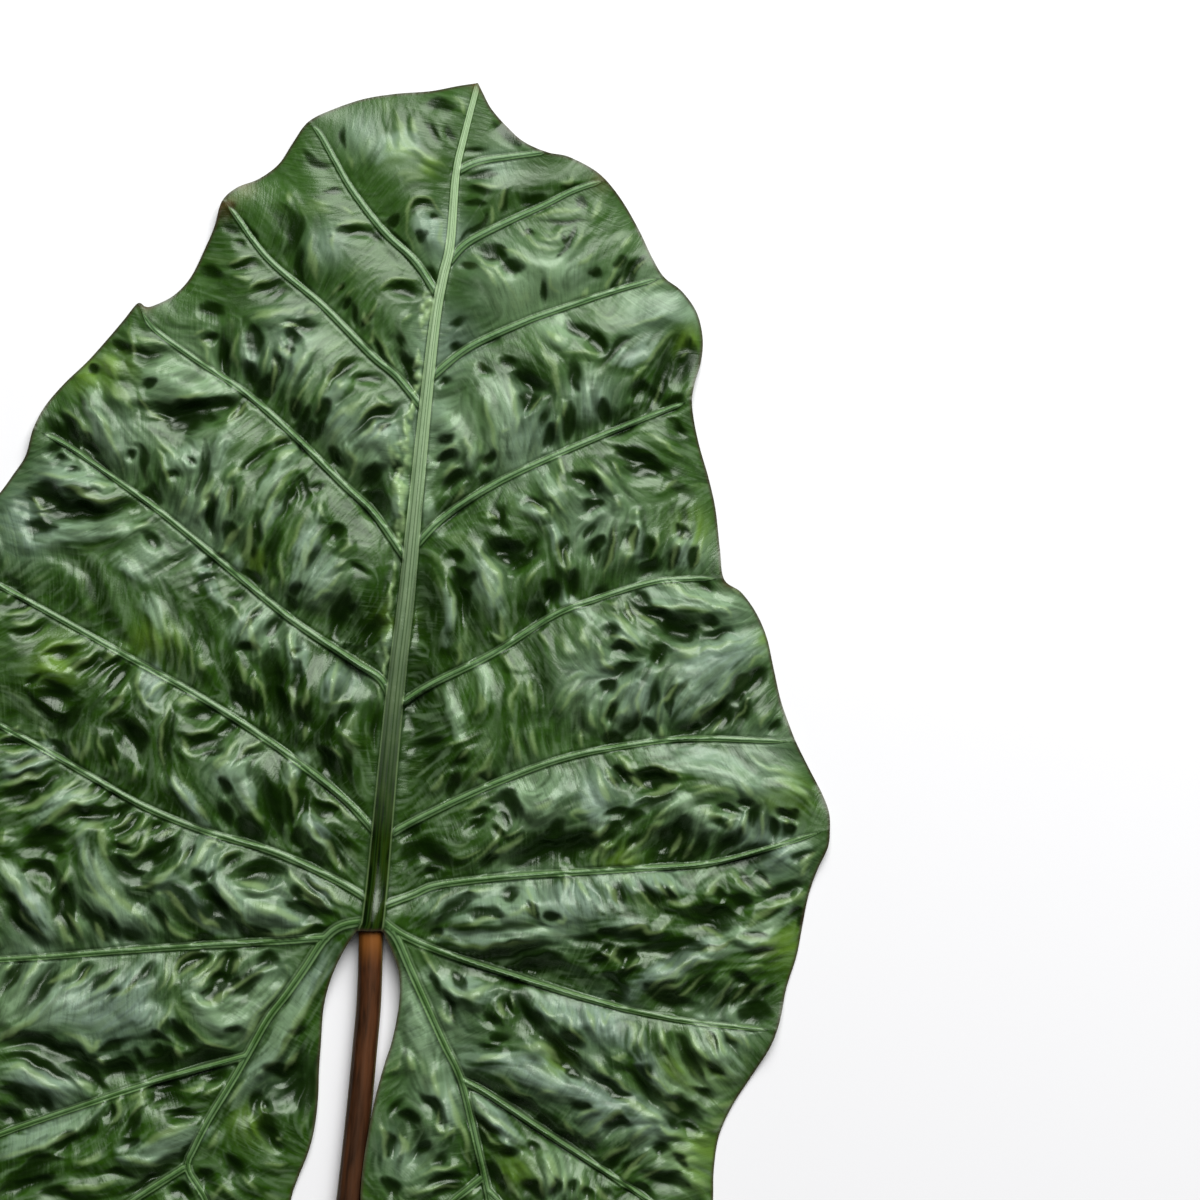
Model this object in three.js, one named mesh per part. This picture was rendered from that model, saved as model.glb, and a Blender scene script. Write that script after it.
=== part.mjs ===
// A cut alocasia leaf lying face up: the quilted blade with its raised ribs, and its round stalk.
// Millimetres, +Z up. +Y runs along the midrib to the tip, and the origin is on the resting surface
// under the point where the stalk meets the blade.
import * as THREE from "three";

// Driving dimensions
const BLADE_LENGTH = 338; // from the junction to the tip
const LAMINA = 0.8; // thickness of the blade between its ribs
const STALK_RADIUS_TOP = 4.9;
const STALK_RADIUS_FOOT = 5.8;
const JOINT_GAP = 0.4; // clearance between the blade and the stalk
const MIDRIB_HALF_WIDTH = 4.9; // at the junction, narrowing to the tip
const MIDRIB_END_HALF_WIDTH = 1.1;
const COSTA_HALF_WIDTH = 2.3; // the main rib of each basal lobe
const COSTA_END_HALF_WIDTH = 1.2;
const RIB_HALF_WIDTH = 1.9;
const RIB_END_HALF_WIDTH = 1.2;

// How high the blade stands
const EDGE_LEVEL = LAMINA; // the margin, between two rib ends
const CROWN = 9.0; // rise from the margin to the middle
const CROWN_REACH = 38;
const STALK_LIFT = 9.4; // the blade rides over its own stalk
const STALK_LIFT_REACH = 14;
const RIB_END_LIFT = 4.0; // the margin is held up where a rib ends
const RIB_END_REACH = 12;
const RIB_END_DEPTH = 18;
const PUFF = 4.2; // quilting between the ribs
const PUFF_REACH = 9;
const CORD_HEIGHT = 1.5; // how far a wide rib stands above the blade
const CORD_ROUNDNESS = 0.55; // the same for a narrow rib, in its half widths

// Main folds, which leave each rib like a herringbone
const FOLD_PITCH = 16;
const FOLD_HEIGHT = 2.2;
const FOLD_LEAN_START = -0.1; // slant towards the margin, at the foot of a rib and at its end
const FOLD_LEAN_END = 0.95;
const FOLD_EDGE_FADE = 12;
const FOLD_RIB_FADE = 5;
const FOLD_SQUARENESS = 1.6; // 0 is a plain sine, more has steeper flanks
const FOLD_HANDOVER = 4; // how sharply one rib's folds give way to the next rib's
const FOLD_SHIFT = 1.9; // between one rib's folds and the next rib's, in radians
const FOLD_SIDE_SHIFT = 2.4; // between the folds on a rib's two sides, in radians
const FOLD_WANDER = 0.9; // how far the folds stray from regular, in radians
const WANDER_X_REACH = 17;
const WANDER_X_BEND = { height: 1.3, reach: 23 };
const WANDER_Y_REACH = 19;
const WANDER_Y_BEND = { height: 1.7, reach: 29 };

// Keels under the ribs
const MIDRIB_KEEL = 14;
const MIDRIB_END_KEEL = 1.6;
const COSTA_KEEL = 4.0;
const RIB_KEEL = 2.2;
const RIB_END_KEEL = 0.8;
const MIDRIB_KEEL_FALL = 0.85; // how soon a keel thins along its rib
const KEEL_FALL = 0.5;

// The lamina is measured square to the blade, up to this slope, found over this distance each way
const STEEPEST = 1.5;
const SLOPE_REACH = 1.5;

// Mesh spacing
const LINE_STEP = 2.5;
const MARGIN_STEP = 5.6;
const MIDRIB_STEP = 9;
const RIB_STEP = 8;
const FOLD_ROWS = [7, 15, 25]; // distances from a rib
const FOLD_GAP = 5.6; // least distance of a fold's points from all others
const MIDRIB_FLANKS = [0, 0.5, -0.5, 1, -1]; // rows of points along a rib, in its half widths
const RIB_FLANKS = [0, 1, -1];
const FLANK_GAP = 0.4; // in half widths
const EDGE_GAP = 3.0; // least distance from the margin
const RIB_EDGE_GAP = 1.5; // the same for a rib's points
const FILL_STEP = 11;
const FILL_GAP = 0.75 * FILL_STEP;
const FILL_SHIFT = 3; // the filling's rows are shifted sideways by less than this
const FILL_START = -240; // reaches past the blade at both sides and at the lobes
const FILL_END = 240;
const FAR = 1e4; // corners of a triangle round all the points
const STALK_SIDES = 16;
const STALK_RINGS = 24;

// Colours
const LEAF_GREEN = 0x24481f;
const LEAF_ROUGHNESS = 0.35;
const STALK_BROWN = 0x4a2216;
const STALK_ROUGHNESS = 0.5;

// Places read off the photograph, in its 1200 x 1200 pixels
const JUNCTION_PX = [374, 920];
const TIP_PX = [478, 83];

const MIDRIB_PX = [
  [370.5, 930], [374, 917], [383, 822], [395.5, 692], [406, 603], [414.5, 519], [426, 404],
  [435.5, 320], [443, 278], [450.5, 244], [456, 175], [464, 137], [478, 83],
];

// Each rib runs from its axis to the margin, and is followed by the margin as far as the next rib.
const RIGHT_TIP_MARGIN_PX = [[478, 83], [483, 93], [491, 108], [505, 124], [523, 141]];
const RIGHT_RIBS_PX = [
  {
    rib: [[457, 172], [478, 162], [508, 157], [547, 152]],
    margin: [[568, 156], [590, 167]],
  },
  {
    rib: [[450, 262], [468, 243], [506, 223], [545, 205], [575, 190], [606, 180]],
    margin: [[624, 203], [640, 231], [652, 257]],
  },
  {
    rib: [[430, 380], [468, 349], [521, 324], [556, 311], [613, 291.5], [664, 277]],
    margin: [[682, 291], [697, 312], [703, 338], [701, 362], [695, 382]],
  },
  {
    rib: [[413, 550], [445, 517], [498, 483], [564, 452], [632, 423.5], [692, 400]],
    margin: [[694, 420], [700, 447], [709, 478], [716, 510], [720, 548]],
  },
  {
    rib: [[397, 707], [431, 685], [492, 654.5], [553, 616], [591, 601], [649, 583], [687, 579], [724, 579]],
    margin: [[741, 592], [756, 612], [767, 637], [774, 668], [781, 700], [789, 724]],
  },
  {
    rib: [[383, 839], [423, 817], [496, 783], [572, 756], [660, 741], [706, 738.7], [744, 740], [796, 742]],
    margin: [[808, 766], [822, 793], [829, 812]],
  },
  {
    rib: [[376, 908], [413, 895], [440, 885], [517, 876], [630, 869], [706, 864], [764, 850], [830, 829]],
    margin: [[828, 848], [818, 870], [809, 896], [803, 926], [797, 957], [787, 988], [782, 1012]],
  },
  {
    rib: [[380, 917], [405, 936], [452, 956], [536, 983], [600, 1002], [640, 1012], [700, 1023], [777, 1031]],
    margin: [[768, 1052], [750, 1080], [732, 1108], [719, 1138], [714, 1172], [713, 1204]],
  },
  {
    rib: [[461, 1080], [490, 1095.6], [551, 1136], [600, 1168], [655, 1205], [708, 1243]],
    margin: [[702, 1275], [690, 1308], [672, 1338]],
  },
  {
    rib: [[487, 1190], [520, 1222], [570, 1268], [615, 1312], [648, 1367]],
    margin: [[628, 1395], [598, 1424]],
  },
];
const RIGHT_COSTA_PX = [
  [374, 920], [394, 933], [409.5, 967], [425, 1002], [444, 1044], [461, 1080], [476.5, 1143],
  [487, 1190], [496, 1240], [508, 1300], [524, 1360], [545, 1415], [560, 1448],
];
const RIGHT_SINUS_MARGIN_PX = [
  [560, 1448], [525, 1442], [482, 1418], [440, 1380], [405, 1335], [380, 1290], [366, 1245],
  [361.5, 1205], [362, 1180], [366, 1148], [374.5, 1102], [384, 1066], [391.5, 1043], [397, 1018],
  [400, 995], [399, 972], [393.5, 953], [387.5, 940], [383.5, 930],
];
const RIGHT_INNER_RIBS_PX = [
  [[482, 1178], [458, 1197], [425, 1225], [371, 1262]],
  [[507, 1288], [470, 1320], [430, 1370]],
];

const LEFT_TIP_MARGIN_PX = [
  [478, 83], [470, 84], [455, 86], [430, 90], [395, 92.5], [362, 98], [332, 109],
];
const LEFT_RIBS_PX = [
  {
    rib: [[440, 300], [416, 263], [384, 232], [353, 192], [334, 159.5], [319, 133], [308, 122]],
    margin: [[292, 143], [278, 163], [258, 178], [237, 187]],
  },
  {
    rib: [[425, 412], [398, 378], [371, 355], [321.5, 305], [268, 259], [233.5, 213], [222, 201]],
    margin: [[214, 226], [204, 248], [190, 276], [174, 294], [157, 304], [146, 307]],
  },
  {
    rib: [[409, 564], [375, 515], [344, 485], [291, 433], [245, 393], [191, 356.5], [153, 328], [138, 303]],
    margin: [[124, 319], [106, 339], [86, 361], [63, 383], [45, 405]],
  },
  {
    rib: [
      [393, 714], [383, 682], [356, 663], [291, 619], [230, 569], [165, 515.5], [115, 479], [65, 444.5],
      [33, 429],
    ],
    margin: [[25, 455], [12, 474], [-2, 493], [-22, 515], [-42, 537]],
  },
  {
    rib: [[380, 838], [344, 799], [275.5, 745.5], [199, 696], [126, 655.5], [57, 617], [0, 586], [-58, 556]],
    margin: [[-76, 580], [-94, 612], [-108, 642]],
  },
  {
    rib: [
      [377, 904], [337, 881], [275.5, 852.6], [207, 831.5], [145.5, 806.7], [84, 772], [30.6, 741.6],
      [-40, 705], [-118, 668],
    ],
    margin: [[-134, 700], [-148, 745], [-157, 795], [-163, 850], [-168, 905]],
  },
  {
    rib: [[327, 938], [268, 942], [191, 946], [115, 951], [38, 957], [-40, 961], [-110, 962], [-170, 958]],
    margin: [[-169, 1000], [-164, 1050], [-154, 1100], [-142, 1145]],
  },
  {
    rib: [[247, 1056], [222, 1063], [153, 1082], [77, 1107], [0, 1134], [-60, 1158], [-128, 1183]],
    margin: [[-114, 1217], [-95, 1255], [-72, 1292]],
  },
  {
    rib: [[184, 1168], [134, 1200], [70, 1245], [10, 1285], [-46, 1326]],
    margin: [[-20, 1354], [12, 1382]],
  },
  {
    rib: [[214, 1232], [165, 1275], [110, 1330], [47, 1406]],
    margin: [[90, 1434], [138, 1456]],
  },
];
const LEFT_COSTA_PX = [
  [374, 920], [344, 925], [325, 939], [306, 967], [287, 994], [268, 1019], [247, 1056], [229.6, 1086],
  [210.5, 1117], [195, 1147], [188, 1168], [206, 1200], [217, 1240], [222, 1290], [218, 1350],
  [206, 1410], [188, 1464],
];
const LEFT_SINUS_MARGIN_PX = [
  [188, 1464], [230, 1448], [262, 1410], [280, 1350], [287, 1290], [286, 1240], [290, 1202],
  [297, 1180], [307.5, 1154], [314, 1129], [317.5, 1100], [318.5, 1071], [320.5, 1043],
  [322.5, 1014], [326, 995], [332, 976], [341, 956], [351, 939], [357.5, 930],
];
const LEFT_INNER_RIBS_PX = [[[220, 1262], [250, 1300], [285, 1336]]];

const STALK_PX = [
  [370.5, 930], [370.7, 943], [369, 1000], [364.5, 1052], [360, 1100], [351.5, 1180], [341, 1270],
  [331, 1350], [319, 1440], [306, 1530], [291, 1620], [280, 1680],
];

// The leaf's own frame from a place on the photograph
const leanX = TIP_PX[0] - JUNCTION_PX[0];
const leanY = JUNCTION_PX[1] - TIP_PX[1];
const lengthPx = Math.hypot(leanX, leanY);
const scale = BLADE_LENGTH / lengthPx;
const onLeaf = ([px, py]) => {
  const right = px - JUNCTION_PX[0];
  const up = JUNCTION_PX[1] - py;
  return new THREE.Vector2(
    (scale * (right * leanY - up * leanX)) / lengthPx,
    (scale * (right * leanX + up * leanY)) / lengthPx,
  );
};

// A smooth line through the points, sampled evenly, with the distance along it
function lineThrough(placesPx, step = LINE_STEP) {
  const curve = new THREE.SplineCurve(placesPx.map(onLeaf));
  const length = curve.getLength();
  const points = curve.getSpacedPoints(Math.max(2, Math.round(length / step)));
  return { points, length };
}

// Distance, share of the way along, and side (+1 is left of the line's direction) of the nearest place
function nearest(line, x, y) {
  const { points } = line;
  let found = { distance: Infinity };
  for (let i = 0; i + 1 < points.length; i++) {
    const a = points[i];
    const b = points[i + 1];
    const dx = b.x - a.x;
    const dy = b.y - a.y;
    const t = THREE.MathUtils.clamp(((x - a.x) * dx + (y - a.y) * dy) / (dx * dx + dy * dy), 0, 1);
    const gapX = x - a.x - t * dx;
    const gapY = y - a.y - t * dy;
    const distance = Math.hypot(gapX, gapY);
    if (distance < found.distance) {
      found = { distance, share: (i + t) / (points.length - 1), side: Math.sign(dx * gapY - dy * gapX) };
    }
  }
  return found;
}

// The ribs and the outline
const asRib = (placesPx, width, endWidth, keel, endKeel, keelFall = KEEL_FALL) => ({
  ...lineThrough(placesPx), width, endWidth, keel, endKeel, keelFall,
});
const lateral = (placesPx) =>
  asRib(placesPx, RIB_HALF_WIDTH, RIB_END_HALF_WIDTH, RIB_KEEL, RIB_END_KEEL);
const costa = (placesPx) =>
  asRib(placesPx, COSTA_HALF_WIDTH, COSTA_END_HALF_WIDTH, COSTA_KEEL, RIB_END_KEEL);
const midrib = asRib(
  MIDRIB_PX, MIDRIB_HALF_WIDTH, MIDRIB_END_HALF_WIDTH, MIDRIB_KEEL, MIDRIB_END_KEEL, MIDRIB_KEEL_FALL,
);
const costae = [costa(RIGHT_COSTA_PX), costa(LEFT_COSTA_PX)];
const laterals = [
  ...[...RIGHT_RIBS_PX, ...LEFT_RIBS_PX].map((band) => lateral(band.rib)),
  ...[...RIGHT_INNER_RIBS_PX, ...LEFT_INNER_RIBS_PX].map(lateral),
];
const ribs = [midrib, ...costae, ...laterals];
const stalkLine = lineThrough(STALK_PX);

const sideMargin = (tip, bands, sinus) => [
  ...tip, ...bands.flatMap(({ rib, margin }) => [rib.at(-1), ...margin]), ...sinus,
];
const rightMargin = lineThrough(
  sideMargin(RIGHT_TIP_MARGIN_PX, RIGHT_RIBS_PX, RIGHT_SINUS_MARGIN_PX), MARGIN_STEP,
);
const leftMargin = lineThrough(
  sideMargin(LEFT_TIP_MARGIN_PX, LEFT_RIBS_PX, LEFT_SINUS_MARGIN_PX), MARGIN_STEP,
);
const butt = [1 / 3, 2 / 3].map((share) =>
  rightMargin.points.at(-1).clone().lerp(leftMargin.points.at(-1), share),
);
const outline = [...rightMargin.points, ...butt, ...leftMargin.points.slice(1).reverse()];
const outlineLoop = { points: [...outline, outline[0]] };

function insideOutline(x, y) {
  let inside = false;
  for (let i = 0, j = outline.length - 1; i < outline.length; j = i++) {
    const a = outline[i];
    const b = outline[j];
    if (a.y > y !== b.y > y && x < ((b.x - a.x) * (y - a.y)) / (b.y - a.y) + a.x) inside = !inside;
  }
  return inside;
}

const mix = THREE.MathUtils.lerp;
const bell = (distance, reach) => Math.exp(-((distance / reach) ** 2));
const ribWidth = (rib, share) => mix(rib.width, rib.endWidth, share);

// A slow, smooth wander that keeps the folds from being regular
const bend = ({ height, reach }, across) => height * Math.sin(across / reach);
const wander = (x, y) =>
  Math.sin(x / WANDER_X_REACH + bend(WANDER_X_BEND, y)) +
  Math.cos(y / WANDER_Y_REACH + bend(WANDER_Y_BEND, x));

// The folds beside one rib, at a share of the way along it and a distance from it
function foldBeside(index, rib, near, x, y) {
  const lean = mix(FOLD_LEAN_START, FOLD_LEAN_END, near.share ** 2);
  const along = near.share * rib.length - lean * near.distance;
  const start = FOLD_SHIFT * index + (near.side > 0 ? 0 : FOLD_SIDE_SHIFT);
  const wave = Math.sin((2 * Math.PI * along) / FOLD_PITCH + start + FOLD_WANDER * wander(x, y));
  return Math.tanh(FOLD_SQUARENESS * wave);
}

// The upper face
function topHeight(x, y) {
  const edge = nearest(outlineLoop, x, y).distance;
  const stalk = nearest(stalkLine, x, y);
  const near = ribs.map((rib) => nearest(rib, x, y));
  let toRib = Infinity;
  let cord = 0;
  ribs.forEach((rib, i) => {
    const width = ribWidth(rib, near[i].share);
    const beside = Math.max(0, near[i].distance - width);
    toRib = Math.min(toRib, beside);
    const round = Math.max(0, 1 - (near[i].distance / width) ** 2);
    cord = Math.max(cord, Math.min(CORD_HEIGHT, CORD_ROUNDNESS * width) * round);
  });
  let folds = 0;
  let total = 0;
  laterals.forEach((rib, i) => {
    const place = near[i + 1 + costae.length];
    const weight = 1 / (place.distance + 1) ** FOLD_HANDOVER;
    folds += weight * foldBeside(i, rib, place, x, y);
    total += weight;
  });
  const overStalk = bell(stalk.distance, STALK_LIFT_REACH);
  const inland = 1 - Math.exp(-edge / FOLD_EDGE_FADE);
  const foldShare = inland * (1 - bell(toRib, FOLD_RIB_FADE));
  return (
    EDGE_LEVEL +
    CROWN * (1 - Math.exp(-edge / CROWN_REACH)) +
    STALK_LIFT * overStalk +
    RIB_END_LIFT * (1 - overStalk) * bell(toRib, RIB_END_REACH) * Math.exp(-edge / RIB_END_DEPTH) +
    PUFF * (1 - bell(toRib, PUFF_REACH)) * inland +
    (FOLD_HEIGHT * foldShare * folds) / total +
    cord
  );
}

// How far the underside lies below the upper face: the lamina, and a rounded keel under each rib
function depth(x, y, slope) {
  let keel = 0;
  for (const rib of ribs) {
    const place = nearest(rib, x, y);
    const width = ribWidth(rib, place.share);
    const round = Math.sqrt(Math.max(0, 1 - (place.distance / width) ** 2));
    keel = Math.max(keel, mix(rib.keel, rib.endKeel, place.share ** rib.keelFall) * round);
  }
  return LAMINA * Math.sqrt(1 + slope * slope) + keel;
}

// Delaunay triangles of the points, by adding them one at a time
function triangulate(points) {
  const corners = [[-FAR, -FAR], [FAR, -FAR], [0, FAR]];
  const all = [...points, ...corners.map(([x, y]) => new THREE.Vector2(x, y))];
  const circled = (a, b, c) => {
    const [p, q, r] = [all[a], all[b], all[c]];
    const d = 2 * (p.x * (q.y - r.y) + q.x * (r.y - p.y) + r.x * (p.y - q.y));
    const x = (p.lengthSq() * (q.y - r.y) + q.lengthSq() * (r.y - p.y) + r.lengthSq() * (p.y - q.y)) / d;
    const y = (p.lengthSq() * (r.x - q.x) + q.lengthSq() * (p.x - r.x) + r.lengthSq() * (q.x - p.x)) / d;
    return { a, b, c, x, y, reach: (p.x - x) ** 2 + (p.y - y) ** 2 };
  };
  const n = points.length;
  let triangles = [circled(n, n + 1, n + 2)];
  points.forEach((p, i) => {
    const rim = new Map();
    triangles = triangles.filter((t) => {
      if ((p.x - t.x) ** 2 + (p.y - t.y) ** 2 > t.reach) return true;
      for (const [from, to] of [[t.a, t.b], [t.b, t.c], [t.c, t.a]]) {
        if (!rim.delete(`${to},${from}`)) rim.set(`${from},${to}`, [from, to]);
      }
      return false;
    });
    for (const [from, to] of rim.values()) triangles.push(circled(from, to, i));
  });
  return triangles.filter((t) => Math.max(t.a, t.b, t.c) < n).map((t) => [t.a, t.b, t.c]);
}

// Mesh points: the margin, the ribs with their flanks, the crests and troughs of the folds, and a filling
function meshPoints() {
  const points = [...outline];
  const clear = (p, gap) => points.every((q) => q.distanceTo(p) > gap);
  const inside = (p, gap) => insideOutline(p.x, p.y) && nearest(outlineLoop, p.x, p.y).distance > gap;
  const offer = (p, gap, edgeGap = EDGE_GAP) => {
    if (inside(p, edgeGap) && clear(p, gap)) points.push(p);
  };
  const stations = (rib, step) => {
    const count = Math.round(rib.length / step);
    return Array.from({ length: count + 1 }, (_, i) => i / count);
  };
  const placeBeside = (rib, share, off) => {
    const at = share * (rib.points.length - 1);
    const i = Math.min(Math.floor(at), rib.points.length - 2);
    const [a, b] = [rib.points[i], rib.points[i + 1]];
    const ahead = b.clone().sub(a);
    const across = new THREE.Vector2(-ahead.y, ahead.x).normalize();
    return a.clone().addScaledVector(ahead, at - i).addScaledVector(across, off);
  };
  for (const rib of ribs) {
    const flanks = rib === midrib ? MIDRIB_FLANKS : RIB_FLANKS;
    for (const share of stations(rib, rib === midrib ? MIDRIB_STEP : RIB_STEP)) {
      const width = ribWidth(rib, share);
      for (const flank of flanks) {
        offer(placeBeside(rib, share, flank * width), FLANK_GAP * width, RIB_EDGE_GAP);
      }
    }
  }
  laterals.forEach((rib) => {
    for (const row of FOLD_ROWS) {
      for (const share of stations(rib, FOLD_PITCH / 2)) {
        for (const side of [row, -row]) offer(placeBeside(rib, share, side), FOLD_GAP);
      }
    }
  });
  for (let y = FILL_START; y < BLADE_LENGTH; y += FILL_STEP) {
    for (let x = FILL_START; x < FILL_END; x += FILL_STEP) {
      offer(new THREE.Vector2(x + (y % FILL_SHIFT), y), FILL_GAP);
    }
  }
  return points;
}

// The blade: an upper and a lower face with the same triangles, closed along the margin
function bladeGeometry() {
  const points = meshPoints();
  const middle = (t) => t.reduce((sum, i) => sum.add(points[i]), new THREE.Vector2()).divideScalar(3);
  const triangles = triangulate(points).filter((t) => {
    const { x, y } = middle(t);
    return insideOutline(x, y);
  });
  const n = points.length;
  const position = [];
  const lower = [];
  for (const { x, y } of points) {
    const top = Math.max(LAMINA, topHeight(x, y));
    const slope = Math.hypot(
      topHeight(x + SLOPE_REACH, y) - topHeight(x - SLOPE_REACH, y),
      topHeight(x, y + SLOPE_REACH) - topHeight(x, y - SLOPE_REACH),
    ) / (2 * SLOPE_REACH);
    position.push(x, y, top);
    lower.push(x, y, Math.max(0, top - depth(x, y, Math.min(slope, STEEPEST))));
  }
  const index = triangles.flatMap(([a, b, c]) => [a, b, c, n + a, n + c, n + b]);
  outline.forEach((_, i) => {
    const j = (i + 1) % outline.length;
    index.push(i, j, n + j, i, n + j, n + i);
  });
  const geometry = new THREE.BufferGeometry();
  geometry.setAttribute("position", new THREE.Float32BufferAttribute([...position, ...lower], 3));
  geometry.setIndex(index);
  return geometry;
}

// The stalk: round, a little thicker towards its cut foot, lying on the surface
function stalkGeometry() {
  const sides = STALK_SIDES;
  const rings = STALK_RINGS;
  const { points, length } = stalkLine;
  const position = [];
  for (let ring = 0; ring <= rings; ring++) {
    const share = ring / rings;
    const at = Math.max(share, JOINT_GAP / length) * (points.length - 1);
    const i = Math.min(Math.floor(at), points.length - 2);
    const ahead = points[i + 1].clone().sub(points[i]);
    const centre = points[i].clone().addScaledVector(ahead, at - i);
    const across = new THREE.Vector2(-ahead.y, ahead.x).normalize();
    const radius = mix(STALK_RADIUS_TOP, STALK_RADIUS_FOOT, share);
    const flat = radius * Math.cos(Math.PI / sides);
    for (let side = 0; side < sides; side++) {
      const turn = (2 * Math.PI * (side + 0.5)) / sides;
      const off = radius * Math.sin(turn);
      position.push(centre.x + across.x * off, centre.y + across.y * off, flat - radius * Math.cos(turn));
    }
  }
  const index = [];
  for (let ring = 0; ring < rings; ring++) {
    for (let side = 0; side < sides; side++) {
      const a = ring * sides + side;
      const b = ring * sides + ((side + 1) % sides);
      index.push(a, b, a + sides, b, b + sides, a + sides);
    }
  }
  const last = rings * sides;
  for (let side = 1; side + 1 < sides; side++) {
    index.push(0, side + 1, side);
    index.push(last, last + side, last + side + 1);
  }
  const geometry = new THREE.BufferGeometry();
  geometry.setAttribute("position", new THREE.Float32BufferAttribute(position, 3));
  geometry.setIndex(index);
  return geometry;
}

const leafGreen = () =>
  new THREE.MeshStandardMaterial({ color: LEAF_GREEN, roughness: LEAF_ROUGHNESS, metalness: 0 });
const stalkBrown = () =>
  new THREE.MeshStandardMaterial({ color: STALK_BROWN, roughness: STALK_ROUGHNESS, metalness: 0 });

function named(name, geometry, material) {
  const mesh = new THREE.Mesh(geometry, material);
  mesh.name = name;
  return mesh;
}

const leaf = new THREE.Group();
leaf.add(named("blade", bladeGeometry(), leafGreen()));
leaf.add(named("petiole", stalkGeometry(), stalkBrown()));

export default leaf;
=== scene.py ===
# The look of a cut alocasia leaf lying face up on a pale surface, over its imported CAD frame.
import math
from types import SimpleNamespace

import bpy
import numpy as np
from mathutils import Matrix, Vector


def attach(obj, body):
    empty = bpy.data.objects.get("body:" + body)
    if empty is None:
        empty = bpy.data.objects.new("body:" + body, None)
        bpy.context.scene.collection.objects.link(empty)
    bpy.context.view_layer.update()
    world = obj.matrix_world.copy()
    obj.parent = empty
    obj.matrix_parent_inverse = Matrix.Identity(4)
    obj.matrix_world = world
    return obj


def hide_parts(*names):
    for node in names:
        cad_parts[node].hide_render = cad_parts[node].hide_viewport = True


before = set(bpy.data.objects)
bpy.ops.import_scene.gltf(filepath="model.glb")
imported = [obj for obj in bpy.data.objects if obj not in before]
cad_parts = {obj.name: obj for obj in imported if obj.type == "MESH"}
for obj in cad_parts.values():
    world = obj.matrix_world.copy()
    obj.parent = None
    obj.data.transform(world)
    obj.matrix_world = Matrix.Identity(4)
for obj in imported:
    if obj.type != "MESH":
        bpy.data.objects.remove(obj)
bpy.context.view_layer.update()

# Driving sizes, in millimetres, as in the CAD part
BLADE_LENGTH = 338.0
LAMINA = 0.8
STALK_RADIUS_TOP, STALK_RADIUS_FOOT = 4.9, 5.8
MIDRIB_HALF_WIDTH, MIDRIB_END_HALF_WIDTH = 4.9, 1.1
COSTA_HALF_WIDTH, COSTA_END_HALF_WIDTH = 2.3, 1.2
RIB_HALF_WIDTH, RIB_END_HALF_WIDTH = 1.9, 1.2
EDGE_LEVEL = LAMINA
CROWN, CROWN_REACH = 9.0, 38.0
STALK_LIFT, STALK_LIFT_REACH = 9.4, 14.0
RIB_END_LIFT, RIB_END_REACH, RIB_END_DEPTH = 4.0, 12.0, 18.0
PUFF, PUFF_REACH = 4.2, 9.0
FOLD_PITCH, FOLD_EDGE_FADE, FOLD_RIB_FADE = 16.0, 12.0, 5.0
FOLD_LEAN_START, FOLD_LEAN_END = -0.1, 0.95
MIDRIB_KEEL, MIDRIB_END_KEEL, MIDRIB_KEEL_FALL = 14.0, 1.6, 0.85
COSTA_KEEL, RIB_KEEL, RIB_END_KEEL, KEEL_FALL = 4.0, 2.2, 0.8, 0.5
HIGHEST = 15.4
# How far the finer blade lies below the CAD's between its folds, and where its crests are eased down
SETTLE, EASE_FROM = 0.8, 12.6
# The raised cord on the midrib and on the other ribs: its height, and the painted share of the half width
MIDRIB_CORD, RIB_CORD = 1.5, 0.7
MIDRIB_BODY, RIB_BODY = 0.9, 0.66
# The channel beside a rib: its depth, its place in half widths of the cord, and how wide it is
CHANNEL_DEPTH, CHANNEL_PLACE, CHANNEL_WIDTH = 0.6, 1.5, 0.45

# Heights of the folds that are read from the photograph: a start, more for each millimetre of half width, and
# the most that it may be. A broad mound's is a share of its reach.
HOLLOW_DEPTH, HOLLOW_GAIN, HOLLOW_MOST = 0.5, 0.8, 3.0
RIDGE_HEIGHT, RIDGE_GAIN = 0.7, 1.0
MOUND_SLOPE = 0.36
# How far their flanks reach from their line: so many half widths, and so many millimetres more
HOLLOW_REACH, RIDGE_REACH, MOUND_REACH = (1.7, 1.4), (2.2, 2.4), (1.5, 1.2)
# How far the relief of a line lies from its mark, away from the light, in half widths of the line
HOLLOW_SHIFT, RIDGE_SHIFT, MOUND_SHIFT = 0.8, 0.6, 0.5
# Half width that a line keeps at its pointed ends
THINNEST = 0.15
# Where each kind of mark ends and where it is in full, in half widths of its line
HOLLOW_FADE, RIDGE_FADE, SLOPE_FADE, LIT_STRIP_FADE = (1.9, 0.9), (1.2, 0.2), (1.35, 0.75), (1.5, 0.5)
# How far the folds' edges wander, and the heights of the guessed folds and of the small creases
RAGGED, GUESSED_FOLD = 0.5, 2.0
SMALL_FOLD, CREASE, SWELL, HAIR = 0.07, 0.05, 0.5, 0.045
# How strongly guessed folds are painted, with painted shade in their hollows and painted highlight on their
# ridges: faintly within the picture, and beyond its edge
OWN_HOLLOW, OWN_RIDGE = 0.18, 0.3
FAR_HOLLOW, FAR_RIDGE = 0.8, 0.6
# How much of the relief is left towards the tip, and where it starts and stops to lessen
TIP_RELIEF, TIP_RELIEF_FROM, TIP_RELIEF_TO = 0.35, 190.0, 285.0
# Height of the pale crumpled strip beside the midrib, and how far its crumples go up and down
LIT_STRIP_HEIGHT, LIT_STRIP_CRUMPLE = 0.3, 0.25
# Distances from the margin between which its brown rim sets in
RIM_START, RIM_FULL = 1.3, 0.5

# Spacing of the height map, of the upper face's corners and of the lower face's, in millimetres
MAP_STEP, UPPER_STEP, LOWER_STEP, FLOW_STEP = 0.55, 0.68, 1.7, 2.5
SEED = 11
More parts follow.
